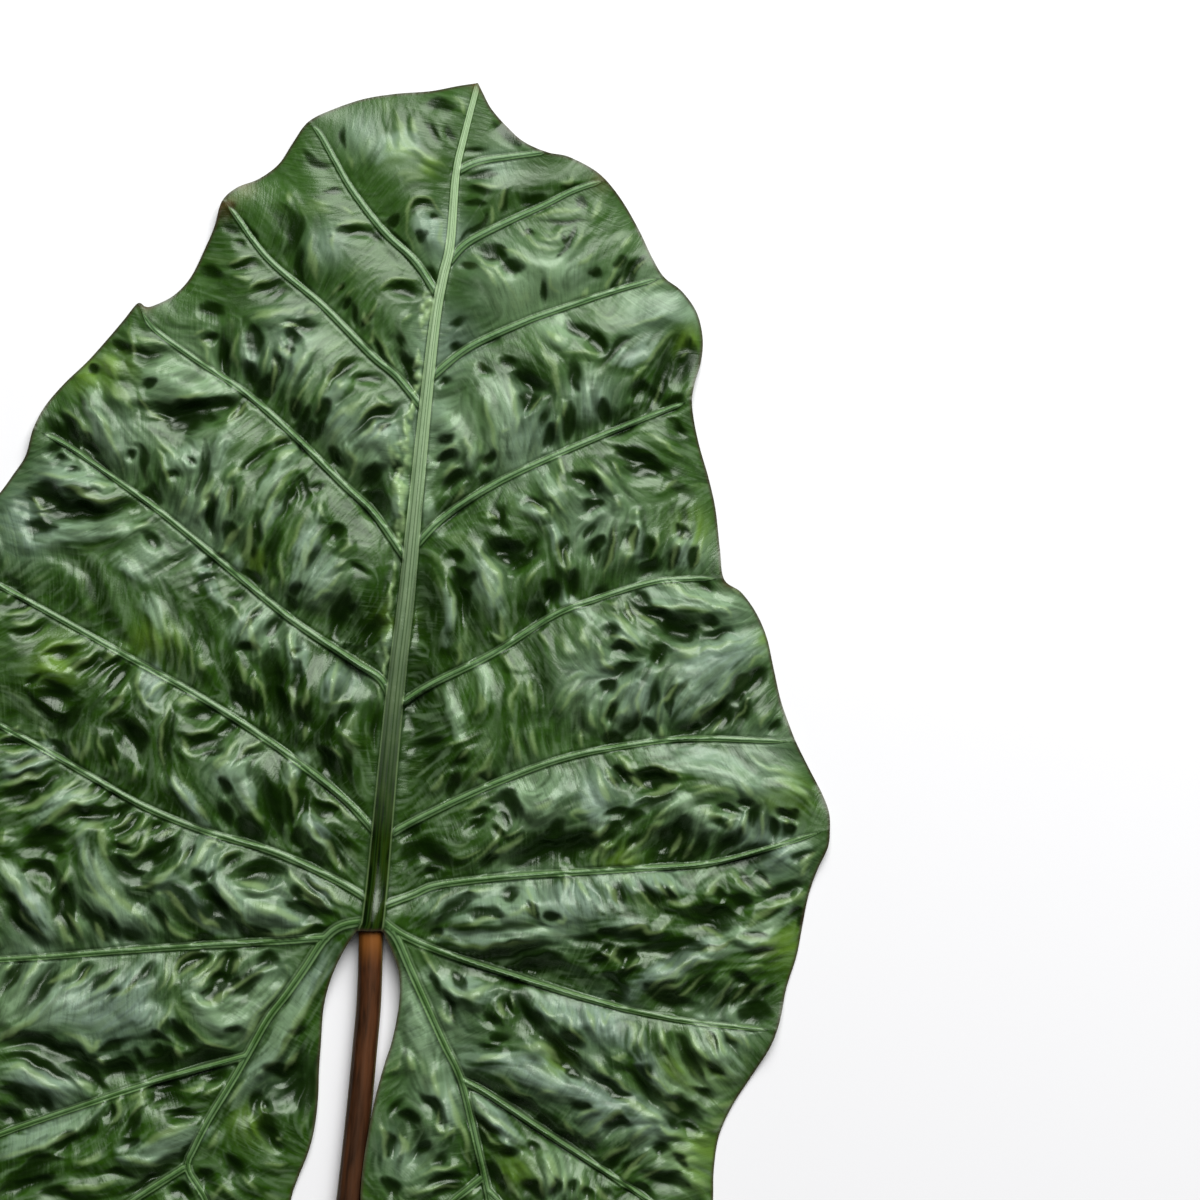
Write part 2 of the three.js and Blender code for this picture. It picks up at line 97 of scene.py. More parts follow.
# A distance further than any on the leaf, and the strip that a grid has outside the outline
FAR, GRID_MARGIN = 1e3, 8
# How far from a rib, the stalk and the margin their distances are worked out, and where the margin's fine
# distances give way to those from a coarser grid
RIB_REACH, RIB_FLOW_REACH, STALK_REACH, MARGIN_REACH, MARGIN_FINE_REACH = 46, 60, 45, 180, 14
FINE_TO_COARSE = (5, 10)
# How far from a rib's middle its markings are kept, in half widths of the cord
BAND = 3.0
# Size of the fine lines that leave the ribs, in millimetres, and how far apart two ribs' patterns are
GRAIN_WIDTH, GRAIN_LENGTH, GRAIN_APART = 1.1, 14.0, 6.3
# The stalk's sides and rings, and its ribbing: share of the radius, number of grooves and where they start
STALK_SIDES, STALK_RINGS = 64, 420
STALK_RIPPLES = ((0.012, 9, 0.6), (0.006, 23, 0.0))
# How far the stalk starts from the midrib's foot, and the height of its middle in radii
STALK_START, STALK_MIDDLE = 0.4, 0.985
# Length of its streaks, how fine they are around it, and where its throat and its foot change colour
STREAK_LENGTH, STREAKS_AROUND = 14, 3.2
THROAT_FADE, FOOT_FADE = (16, 1), (10, 110)

# The picture's size, and the strips at its left and lower edge where the guessed folds take over
FRAME_PX = 1200
UNSEEN_LEFT_PX, UNSEEN_BELOW_PX = (12, -22), (1186, 1222)
# The camera, in millimetres, and the height above the floor at which its picture has the photograph's scale
LENS, SENSOR = 120.0, 36.0
MARGIN_HEIGHT = 5.0
# Where the light comes from: its place from the picture's centre, right and up in the picture, in metres
WINDOW_RIGHT, WINDOW_AHEAD = 0.8, 2.4
# Half the floor's width and its level, in metres
FLOOR_HALF, FLOOR_LEVEL = 6, -0.0004

# Places on the 1200 x 1200 photograph, read off it. A rib comes with the margin from its end to the next:
JUNCTION_PX, TIP_PX = (374, 920), (478, 83)
MIDRIB_PX = [
    (370.5, 930), (374, 917), (383, 822), (395.5, 692), (406, 603), (414.5, 519), (426, 404),
    (435.5, 320), (443, 278), (450.5, 244), (456, 175), (464, 137), (478, 83),
]
RIGHT_TIP_MARGIN_PX = [(478, 83), (483, 93), (491, 108), (505, 124), (523, 141)]
RIGHT_RIBS_PX = [
    ([(457, 172), (478, 162), (508, 157), (547, 152)], [(568, 156), (590, 167)]),
    ([(450, 262), (468, 243), (506, 223), (545, 205), (575, 190), (606, 180)],
     [(624, 203), (640, 231), (652, 257)]),
    ([(430, 380), (468, 349), (521, 324), (556, 311), (613, 291.5), (664, 277)],
     [(682, 291), (697, 312), (703, 338), (701, 362), (695, 382)]),
    ([(413, 550), (445, 517), (498, 483), (564, 452), (632, 423.5), (692, 400)],
     [(694, 420), (700, 447), (709, 478), (716, 510), (720, 548)]),
    ([(397, 707), (431, 685), (492, 654.5), (553, 616), (591, 601), (649, 583), (687, 579), (724, 579)],
     [(741, 592), (756, 612), (767, 637), (774, 668), (781, 700), (789, 724)]),
    ([(383, 839), (423, 817), (496, 783), (572, 756), (660, 741), (706, 738.7), (744, 740), (796, 742)],
     [(808, 766), (822, 793), (829, 812)]),
    ([(376, 908), (413, 895), (440, 885), (517, 876), (630, 869), (706, 864), (764, 850), (830, 829)],
     [(828, 848), (818, 870), (809, 896), (803, 926), (797, 957), (787, 988), (782, 1012)]),
    ([(380, 917), (405, 936), (452, 956), (536, 983), (600, 1002), (640, 1012), (700, 1023), (777, 1031)],
     [(768, 1052), (750, 1080), (732, 1108), (719, 1138), (714, 1172), (713, 1204)]),
    ([(461, 1080), (490, 1095.6), (551, 1136), (600, 1168), (655, 1205), (708, 1243)],
     [(702, 1275), (690, 1308), (672, 1338)]),
    ([(487, 1190), (520, 1222), (570, 1268), (615, 1312), (648, 1367)], [(628, 1395), (598, 1424)]),
]
RIGHT_COSTA_PX = [
    (374, 920), (394, 933), (409.5, 967), (425, 1002), (444, 1044), (461, 1080), (476.5, 1143),
    (487, 1190), (496, 1240), (508, 1300), (524, 1360), (545, 1415), (560, 1448),
]
RIGHT_SINUS_MARGIN_PX = [
    (560, 1448), (525, 1442), (482, 1418), (440, 1380), (405, 1335), (380, 1290), (366, 1245),
    (361.5, 1205), (362, 1180), (366, 1148), (374.5, 1102), (384, 1066), (391.5, 1043), (397, 1018),
    (400, 995), (399, 972), (393.5, 953), (387.5, 940), (383.5, 930),
]
RIGHT_INNER_RIBS_PX = [
    [(482, 1178), (458, 1197), (425, 1225), (371, 1262)],
    [(507, 1288), (470, 1320), (430, 1370)],
]
LEFT_TIP_MARGIN_PX = [
    (478, 83), (470, 84), (455, 86), (430, 90), (395, 92.5), (362, 98), (332, 109),
]
LEFT_RIBS_PX = [
    ([(440, 300), (416, 263), (384, 232), (353, 192), (334, 159.5), (319, 133), (308, 122)],
     [(292, 143), (278, 163), (258, 178), (237, 187)]),
    ([(425, 412), (398, 378), (371, 355), (321.5, 305), (268, 259), (233.5, 213), (222, 201)],
     [(214, 226), (204, 248), (190, 276), (174, 294), (157, 304), (146, 307)]),
    ([(409, 564), (375, 515), (344, 485), (291, 433), (245, 393), (191, 356.5), (153, 328), (138, 303)],
     [(124, 319), (106, 339), (86, 361), (63, 383), (45, 405)]),
    ([(393, 714), (383, 682), (356, 663), (291, 619), (230, 569), (165, 515.5), (115, 479),
      (65, 444.5), (33, 429)],
     [(25, 455), (12, 474), (-2, 493), (-22, 515), (-42, 537)]),
    ([(380, 838), (344, 799), (275.5, 745.5), (199, 696), (126, 655.5), (57, 617), (0, 586), (-58, 556)],
     [(-76, 580), (-94, 612), (-108, 642)]),
    ([(377, 904), (337, 881), (275.5, 852.6), (207, 831.5), (145.5, 806.7), (84, 772), (30.6, 741.6),
      (-40, 705), (-118, 668)],
     [(-134, 700), (-148, 745), (-157, 795), (-163, 850), (-168, 905)]),
    ([(327, 938), (268, 942), (191, 946), (115, 951), (38, 957), (-40, 961), (-110, 962), (-170, 958)],
     [(-169, 1000), (-164, 1050), (-154, 1100), (-142, 1145)]),
    ([(247, 1056), (222, 1063), (153, 1082), (77, 1107), (0, 1134), (-60, 1158), (-128, 1183)],
     [(-114, 1217), (-95, 1255), (-72, 1292)]),
    ([(184, 1168), (134, 1200), (70, 1245), (10, 1285), (-46, 1326)], [(-20, 1354), (12, 1382)]),
    ([(214, 1232), (165, 1275), (110, 1330), (47, 1406)], [(90, 1434), (138, 1456)]),
]
LEFT_COSTA_PX = [
    (374, 920), (344, 925), (325, 939), (306, 967), (287, 994), (268, 1019), (247, 1056), (229.6, 1086),
    (210.5, 1117), (195, 1147), (188, 1168), (206, 1200), (217, 1240), (222, 1290), (218, 1350),
    (206, 1410), (188, 1464),
]
LEFT_SINUS_MARGIN_PX = [
    (188, 1464), (230, 1448), (262, 1410), (280, 1350), (287, 1290), (286, 1240), (290, 1202),
    (297, 1180), (307.5, 1154), (314, 1129), (317.5, 1100), (318.5, 1071), (320.5, 1043),
    (322.5, 1014), (326, 995), (332, 976), (341, 956), (351, 939), (357.5, 930),
]
LEFT_INNER_RIBS_PX = [[(220, 1262), (250, 1300), (285, 1336)]]
STALK_PX = [
    (370.5, 930), (370.7, 943), (369, 1000), (364.5, 1052), (360, 1100), (351.5, 1180), (341, 1270),
    (331, 1350), (319, 1440), (306, 1530), (291, 1620), (280, 1680),
]

# Lines on the photograph, read off it: half width in pixels, then the places along the line.
# Hollows between the folds, sunk in the relief and darkened with painted shade:
HOLLOWS = """
3 410 216 414 208 424 204 434 204 439 209; 2 430 217 440 218; 3 422 232 424 242;
3 426 268 430 275 434 282; 4 386 289 395 287 405 291 421 293; 5 335 229 347 232 360 230 375 229;
3 368 235 380 237 386 241; 3 383 224 391 224 399 217; 3 385 225 392 233 401 243 410 256 415 265;
2 320 191 334 191 347 191; 3 303 146 308 158 316 165 328 167 340 164; 2 343 125 341 138 344 150;
5 281 204 290 212 297 224 293 240 287 262; 4 304 237 301 255 300 272 304 284 312 291;
3 427 120 432 132 441 143; 3 446 126 452 133 458 142; 5 425 101 440 104 455 106;
3 464 186 478 190 494 193; 2 460 202 475 202 490 205; 1.5 458 246 470 234 482 222 490 206;
2.5 507 188 506 200 503 216; 2 462 176 480 175 500 172; 2 463 152 476 151 488 152;
4 492 120 508 134 525 143; 5 520 195 535 200 550 196; 2 519 234 528 234 536 237;
6 482 249 497 253 507 258; 6 503 263 512 266 524 268; 2.5 552 195 565 190 590 182;
2 540 221 560 224 590 221; 2 556 258 566 248 574 235 577 226; 3 460 263 470 266 480 268;
2.5 541 275 545 290 544 305; 5 622 288 632 272 642 262 652 258; 2.5 608 300 616 284 628 266;
4 619 265 625 261; 4 588 270 600 275; 2 560 235 566 243 572 248; 3 578 200 588 205;
4 216 218 226 210 233 205; 3 222 224 232 228 243 230; 2.5 236 242 246 243; 4 229 262 244 264 262 262;
5 200 268 214 272 226 276; 3 215 214 222 206 228 203; 3 240 215 250 232 262 247;
5 254 292 264 287 276 283 286 280; 2.5 270 297 282 292 292 287; 5 200 303 213 309 228 314;
4 285 322 300 325 315 323 322 321; 4 286 332 296 338 300 343; 4 222 328 224 345 226 365 228 385;
6 252 322 256 340 256 356; 5 246 360 252 378 256 392; 4 278 345 280 362 274 380 266 395;
6 258 396 266 386 274 376; 3 290 345 294 352; 5 330 383 338 374 348 364 358 357;
3 350 376 366 378 386 377; 4 293 398 298 410 300 420; 5 320 420 326 408 330 398;
3 312 405 308 418 300 430; 5 357 425 372 417 388 410 406 402; 4 405 355 412 362 418 372;
3 396 330 400 340 406 350; 4 400 352 408 362 412 380 418 392; 2 372 335 380 352 390 366;
2 362 330 370 322 374 312; 2 338 292 344 286 348 283; 2 342 310 350 303 354 300;
2 352 300 356 316 360 328; 4 118 347 128 350 140 353 155 356 172 354; 3 112 340 124 345 136 347;
3 90 370 96 366; 3 144 385 152 383 158 381; 6 135 402 150 405 168 410 190 408 215 403 240 397;
9 152 410 170 418 190 418 210 415 224 413; 3 200 341 212 338 224 336; 4 226 340 228 352 228 372;
4 45 415 56 428 66 440 74 452; 6 62 410 68 425 72 440 78 452; 4 82 432 92 445 100 455;
4 92 455 102 465 110 476; 4 48 448 62 448; 2 70 468 84 468; 2.5 54 458 68 460;
8 20 492 40 492 55 495 72 500; 9 25 505 45 510 65 508 90 508 110 506 128 502 142 501;
8 50 500 70 506 90 506; 6 25 520 40 525 58 528; 2.5 132 443 142 448 146 462 144 485; 3 128 456 138 452;
5 152 480 150 492 156 500 164 504; 4 205 440 206 460 204 480 196 500; 2 190 456 198 463;
2 165 474 176 474 184 477; 4 150 530 155 540 162 545; 3 60 490 80 490 100 489;
5 200 405 215 404 230 402 242 398; 4 200 420 212 418 222 416; 3 232 420 240 410 246 402;
3 262 398 272 388 276 380; 3 238 470 248 466 258 458 266 450 274 444; 3 276 444 284 440 292 436;
4 212 490 212 506 211 520 214 535; 4 236 478 234 500 234 516; 5 236 520 232 532 228 546;
4 262 510 258 525 256 545 258 560; 3 290 484 288 496 284 508 278 518; 3 298 480 294 494 286 505;
4 280 525 276 540 270 556 266 572; 4 300 455 306 440 312 430 318 420; 4 302 440 304 428 310 418;
2.5 312 445 320 432 326 418 330 400; 4 344 442 356 434 366 425 378 415 390 408 400 404;
3 380 432 386 427 392 424; 5 330 450 336 456 344 466; 6 362 486 372 478 380 470 390 465;
7 370 492 378 502 384 512; 3 400 460 398 470 402 478; 2 305 485 315 486 326 486;
5 332 528 340 532 346 534; 4 304 475 306 490 306 500; 3 306 572 312 560 318 550 324 544;
4 292 600 296 590 300 580; 4 290 592 292 604 288 612; 4 245 570 252 576 262 582;
4 200 566 212 560 226 552; 4 196 582 210 578 222 574; 2 228 598 240 595 252 591;
5 455 582 466 580 478 578; 6 450 560 458 568 462 580 464 600 466 620; 4 446 555 456 556 462 562;
4 438 442 448 440 456 436; 4 440 462 450 458 458 452; 5 444 490 452 482 460 474 466 468;
5 440 520 450 512 462 504 476 498; 3 484 462 490 456 494 452; 4 478 486 486 478 492 470;
3 484 342 492 338 500 332; 4 448 356 458 348 468 344; 3 440 385 446 382 452 380;
3 446 325 458 321 470 318; 3 480 362 486 368 494 372; 4 500 356 508 360 516 364;
7 515 372 528 378 540 386 548 384; 6 520 396 530 400 540 398; 5 504 504 500 514 504 524 512 522;
6 490 540 500 545 512 548 525 544; 6 498 552 510 556 522 552; 4 524 500 534 502 546 506;
3 540 430 545 420 548 410; 4 544 448 550 436 556 424; 4 566 398 570 420 566 444;
5 572 360 576 378 578 392; 5 566 322 578 330 590 338; 6 588 334 598 342 606 352;
3 598 370 606 360 612 352 622 342 636 334; 5 606 400 604 412 610 424; 5 612 436 622 428 634 420;
5 634 398 640 388 646 384; 6 644 415 654 400 660 385 666 370 668 350; 8 670 380 682 370 690 350 686 335;
5 660 412 672 404 682 394; 4 670 420 680 428 690 432; 6 614 448 628 454 644 458 660 458;
7 620 462 640 466 658 468 670 472; 4 570 470 580 478 590 488; 6 580 480 592 486 600 492;
5 582 510 592 505 602 500; 3 582 538 592 528 602 520; 4 618 518 614 534 610 552 604 572;
4 628 526 634 532 630 548; 5 640 560 648 548 646 534; 5 640 575 648 566 660 558;
4 668 570 676 556 680 545; 3 690 574 692 560 698 545; 4 690 540 684 532 680 525;
4 562 535 564 552 568 560; 7 545 580 552 590 548 604; 6 540 600 535 615 528 625;
3 524 560 532 548 540 540; 5 576 565 574 580 572 600; 3 590 600 600 592 610 585;
5 588 550 596 546 602 538; 4 508 570 520 562 530 552; 6 632 598 642 608 654 612 668 616;
7 655 622 670 626 684 630 700 628; 5 668 634 682 636 696 630; 4 700 618 710 620 720 618;
3 700 640 712 634 726 630 736 634; 3 632 604 628 618; 6 655 665 660 652 668 645;
5 648 710 654 696 658 680; 3 672 718 668 706 670 694 678 688 690 682; 6 700 722 712 714 722 706 732 696;
5 725 702 735 694 745 682 755 670; 6 745 688 756 678 766 668; 5 735 722 742 710 750 700;
4 680 728 692 726 704 724; 3 718 730 726 718 736 706; 3 768 730 776 724 776 718;
5 602 668 614 672 626 668 640 664; 4 612 650 624 646 636 646; 5 604 690 612 680;
5 604 626 614 630 624 632; 4 618 735 628 728 636 718 642 706; 4 646 716 650 726 650 734;
5 602 735 614 738 626 734; 3 636 590 644 596 652 602; 4 612 722 612 710 616 702;
3 696 578 706 586 714 590; 3 244 632 250 624 258 614 266 606; 4 240 650 252 646 262 648;
4 262 634 272 630 280 620 284 612; 7 272 640 272 660 276 684 282 706 284 728;
4 292 655 300 665 298 680 294 700; 5 300 690 303 710 300 730 294 745; 4 232 690 240 700 244 715;
2.5 247 690 248 705 246 722; 4 256 690 254 705 256 718; 3 312 690 308 712 312 730;
4 335 712 330 725 324 740; 4 352 700 344 712 336 725; 2 290 655 296 650 304 646;
2 350 560 360 568 372 574; 6 350 590 344 604 338 622 332 640; 6 356 648 366 640 374 628 384 616;
3 344 612 352 608 356 604; 3 378 700 376 720 374 750; 3 340 740 350 760 352 785;
4 318 745 326 756 328 775; 3 214 732 224 728 236 722 244 716; 5 186 712 200 712 212 710 222 706;
6 176 730 190 738 206 740 220 735 232 728; 2 204 756 214 752 224 745; 3 232 766 240 758 250 752 264 748;
5 176 706 172 720 168 740 166 760 168 772; 4 220 775 228 785 236 792; 4 218 800 226 812 232 826;
8 240 818 252 830 262 842; 8 264 770 270 790 276 812 282 834; 4 286 790 288 806 292 826;
6 300 784 302 800 300 815; 5 300 850 312 858 322 868; 3 298 826 298 840 304 850;
3 316 826 330 842 342 858 350 868; 5 310 800 325 808 340 816; 2 330 812 340 812;
4 225 864 232 858 242 853; 8 236 872 252 870 270 866 284 872; 4 290 886 298 892 306 900;
6 284 900 298 904 312 910 330 918; 3 300 875 316 885 334 898; 7 200 880 208 888 216 896 230 915;
8 188 895 204 908 222 922 234 934; 4 206 870 200 876 192 880; 2 218 866 212 872 204 876;
8 120 720 132 728 142 738 144 752; 5 110 735 112 750 120 765; 4 96 680 104 672 116 660 124 652;
4 108 690 116 680 126 668 134 660; 2.5 108 704 118 698 126 692; 5 70 664 84 664 98 660 110 652;
4 44 650 60 650 74 648 84 643; 3 12 630 28 632 42 626 50 618; 2 8 606 20 608 32 604 38 600;
3 26 680 34 678 44 672; 4 16 600 22 592; 5 30 690 44 704 56 712 72 712; 6 60 736 64 724 76 712 84 700;
4 50 740 60 750 72 760; 3 70 700 62 690 50 684 40 680; 8 40 690 60 692 76 700; 4 0 745 20 740 34 742;
3 6 760 22 762 36 758 50 754; 3 0 776 20 776 44 770 56 764; 5 0 796 20 790 40 784 54 778 64 770;
5 10 800 26 796 40 790 56 782; 3 90 792 100 784 110 778; 4 106 796 118 794 126 790;
5 60 822 74 812 90 812 108 812 122 804; 8 24 842 40 838 56 834 70 830; 4 44 846 58 848 66 850;
6 26 870 40 865 50 870 48 880; 7 0 890 14 900 22 915 34 930 50 946; 4 14 910 26 925 36 938;
6 56 905 64 898 72 896; 8 62 876 66 900 68 916 72 936; 6 84 900 92 915 104 930 112 944;
5 108 912 116 925 126 940; 5 120 925 134 935 144 944; 5 110 855 122 862 134 872 148 872;
3 112 842 122 844 134 846; 7 136 860 150 856 162 850 172 842 180 836; 4 114 832 124 828 136 818 144 812;
3 150 832 158 824 166 818; 3 160 842 168 832 176 826; 4 116 818 124 810 132 806;
4 150 900 160 914 170 930; 2.5 184 862 192 850 198 842; 8 160 880 176 890 186 902 198 914 214 924;
5 178 975 188 965 200 958 212 952; 5 200 990 212 990 220 985 224 970 232 956; 6 226 992 236 984 246 976;
4 140 980 148 970 156 960; 3 110 995 118 990 126 984; 2 128 992 136 980 144 968; 3 76 978 86 972 96 966;
3 90 990 100 982 112 972 120 962; 6 20 1014 34 1000 44 985 54 970 62 958; 5 0 995 10 980 20 966 24 956;
4 410 748 430 742 446 736; 2 416 768 430 760 446 750; 4 446 795 454 786 460 772;
4 454 770 462 758 470 748; 3 480 772 490 778 496 766; 8 404 860 420 848 436 852 450 862;
4 404 840 412 830 424 824; 3 470 814 482 810 494 808; 6 490 800 504 797 514 804 516 820;
3 495 822 500 830 508 836; 3 500 805 506 815 506 825; 4 470 830 478 822 488 818;
10 505 862 524 856 544 848 560 840 580 836; 8 580 862 570 852 578 840 590 838 602 846;
5 545 832 556 826 566 822; 4 480 868 490 862 500 856; 3 424 876 430 870 440 862;
4 600 842 610 832 622 824; 5 432 925 444 916 454 906 466 898 480 896; 4 460 908 474 912 490 912 510 914;
4 500 896 512 892 522 890; 4 528 900 532 908 540 916; 3 545 912 552 914 560 918;
4 442 926 436 932 430 934; 6 460 952 480 954 500 952 520 946 540 942 560 940;
8 500 975 520 968 540 960 556 958 570 962; 3 568 936 584 938 600 938 616 936; 4 596 936 612 930 624 930;
5 590 962 600 956 608 950; 2 606 776 614 780 620 788; 5 614 765 624 775 634 786;
8 632 782 648 778 662 776 676 776; 4 636 806 650 800 664 796 680 792; 4 620 824 634 814 646 806;
4 600 840 614 826 626 818; 3 604 815 620 812 636 808; 3 622 850 632 840 644 832;
8 660 852 672 838 682 824 694 810; 10 648 862 664 856 684 852 704 850; 5 690 862 700 846 706 830;
6 712 862 722 850 732 838 742 826; 8 720 862 742 858 762 852 780 845; 5 752 830 754 815 758 806;
4 770 815 774 830 776 840; 4 784 838 788 830 790 822; 4 775 808 788 812 800 816;
3 736 800 748 802 756 808; 3 710 818 720 822 728 826; 3 716 805 730 808 740 812;
3 740 870 746 880 754 890; 3 752 866 764 878 776 888; 5 760 896 776 892 790 888 804 882;
3 792 858 806 854 816 850; 4 614 880 618 892 622 904; 4 634 876 642 886 650 898 658 908;
4 660 880 668 892 680 902; 8 690 905 706 912 724 912 744 910; 8 682 914 700 920 720 920 740 920;
6 726 898 738 902 752 902; 4 716 884 720 894 728 898; 5 606 938 622 932 640 930 660 934 680 934;
6 640 945 664 944 688 944 710 946; 6 612 955 626 952 640 954; 3 740 932 754 934 768 934;
2 700 946 716 946 732 940; 2 756 915 770 912 784 908; 4 790 920 798 912 804 908; 4 800 925 806 915;
3 604 948 612 944; 6 180 972 188 962 200 956 212 952; 3 246 952 236 962 228 970 220 980;
6 238 952 228 958 222 968; 5 204 990 214 992 222 986 230 974; 5 254 966 264 960 274 960 280 964;
6 230 990 242 986 252 978 262 968; 4 284 975 290 985 284 996 272 1010 262 1024 250 1040;
4 190 940 204 938 218 934; 6 234 920 246 930 258 934 276 936; 3 300 932 320 930 334 924;
4 300 884 312 896 324 908 334 916; 8 176 1060 196 1058 216 1054 236 1050; 10 150 1066 164 1060 178 1058;
3 150 1044 158 1048 166 1060; 6 174 1016 180 1024 188 1036 196 1044; 4 146 1036 158 1034 166 1040;
3 136 1048 142 1056 146 1064; 8 104 1074 118 1066 130 1062 140 1066;
4 100 1050 112 1046 126 1040 136 1036; 3 116 1056 126 1066 134 1074; 6 70 1058 84 1068 98 1080 110 1086;
5 0 1042 24 1036 46 1038 62 1044 76 1052 88 1060; 3 60 1040 74 1046 86 1050;
5 0 1060 20 1054 40 1060 56 1068 72 1076 80 1084; 5 0 1086 12 1086 24 1092 36 1100 44 1108;
6 0 1106 10 1112 22 1120; 4 40 1092 50 1104 58 1108; 3 100 1115 110 1112 112 1100;
3 80 1144 90 1132 96 1120 102 1110; 6 84 1142 76 1134 66 1140 56 1148;
4 124 1136 134 1124 140 1112 146 1104; 5 148 1088 158 1082 172 1084 186 1090;
5 150 1104 160 1096 176 1096 190 1100; 4 170 1110 184 1112 198 1112; 4 200 1078 216 1076 228 1070;
4 170 1150 182 1156 190 1148 200 1138; 4 120 1144 130 1140 142 1132; 5 10 1176 30 1168 50 1158 70 1156;
6 0 1196 14 1182 30 1178 50 1174 60 1166; 3 116 1196 136 1188 156 1176 172 1166;
4 40 1192 60 1188 80 1196; 6 176 1180 184 1190 192 1196; 3 100 1172 120 1170 136 1176;
6 275 1080 290 1075 300 1062 304 1045; 8 280 1096 296 1090 304 1072; 3 290 1028 298 1034 306 1026;
3 440 985 446 992 450 1000 454 1012 456 1024; 3 452 972 460 980 468 992; 3 430 970 436 984 442 996;
6 512 988 520 998 528 1008 536 1018 546 1030; 4 504 996 508 1004 514 1010;
8 546 1030 556 1042 566 1052 580 1062; 6 560 1030 572 1036 582 1046; 4 484 1008 492 1020 502 1024;
3 486 1034 496 1036 510 1036; 3 478 1044 490 1046 500 1040; 4 470 1078 480 1084 490 1092 500 1096;
6 500 1092 514 1098 528 1104 540 1110; 6 548 1126 560 1130 572 1140 584 1148;
5 540 1112 546 1120 556 1126; 4 470 1110 476 1116 484 1122 492 1128 500 1132;
3 474 1120 478 1130 484 1140 490 1148; 4 500 1152 510 1150 520 1150; 3 526 1144 534 1146 538 1152;
6 486 1160 492 1172 498 1184; 3 570 1110 580 1106 592 1104; 5 606 1130 612 1122 620 1118 632 1122;
3 576 1130 586 1144 590 1150; 4 630 1148 620 1156 610 1164 600 1170; 3 566 1064 574 1072 580 1080;
3 594 1070 606 1082 616 1090 634 1096; 5 620 1064 634 1072 644 1084 652 1094 666 1104;
5 636 1062 648 1070 654 1084; 8 640 980 660 990 680 996 696 998; 6 700 996 704 984 712 978;
5 672 992 688 986 704 976 720 970; 5 614 984 626 972 640 962; 5 602 970 616 980 630 996;
5 604 998 618 996 630 1000; 4 730 972 740 978 752 982; 8 740 1010 756 1012 770 1016;
3 738 1000 750 990 762 984; 3 716 1012 724 1000 730 988; 2 730 1008 736 998 744 990;
2 760 1000 770 992 780 986; 5 672 1030 680 1040 688 1054 696 1070 706 1082;
3 705 1030 712 1040 718 1050; 3 722 1030 732 1042 738 1052; 3 706 1060 716 1070 726 1072;
8 660 1098 680 1106 696 1112 700 1120; 4 692 1082 706 1094 716 1098; 5 700 1130 690 1124 676 1114;
3 650 1150 640 1158 628 1168 618 1178; 4 640 1168 660 1172 676 1172; 3 660 1112 672 1120 684 1128;
3 746 950 762 952 776 950; 5 420 1090 430 1100 440 1110 444 1124; 5 400 1110 410 1116 420 1122;
4 430 1140 420 1150 410 1158; 3 450 1150 440 1158 430 1166; 3 404 1096 396 1104 388 1112;
4 384 1130 392 1140 388 1156; 6 384 1180 392 1186 398 1196; 4 432 1194 442 1190 452 1184 464 1180;
3 424 1184 440 1178 456 1176 470 1176; 2 470 1112 478 1120; 4 560 1170 556 1184 556 1198;
3 574 1176 570 1190; 4 584 1184 592 1196; 3 602 1186 610 1198; 6 520 1178 534 1184 546 1196;
4 506 1172 500 1190; 3 598 1150 592 1144 586 1138; 3 226 1030 234 1028 242 1030; 3 262 1100 270 1108;
6 230 1150 236 1164 250 1170; 6 262 1066 280 1070 296 1078; 8 260 1110 270 1130 284 1145;
5 300 1120 306 1100 310 1080 314 1050; 4 262 1090 256 1100 252 1112; 5 196 1172 204 1176 214 1174;
4 620 1192 640 1190 656 1194; 6 640 1170 660 1176 680 1180 690 1190; 4 650 1144 660 1146 672 1150;
3 676 1154 690 1166;
"""
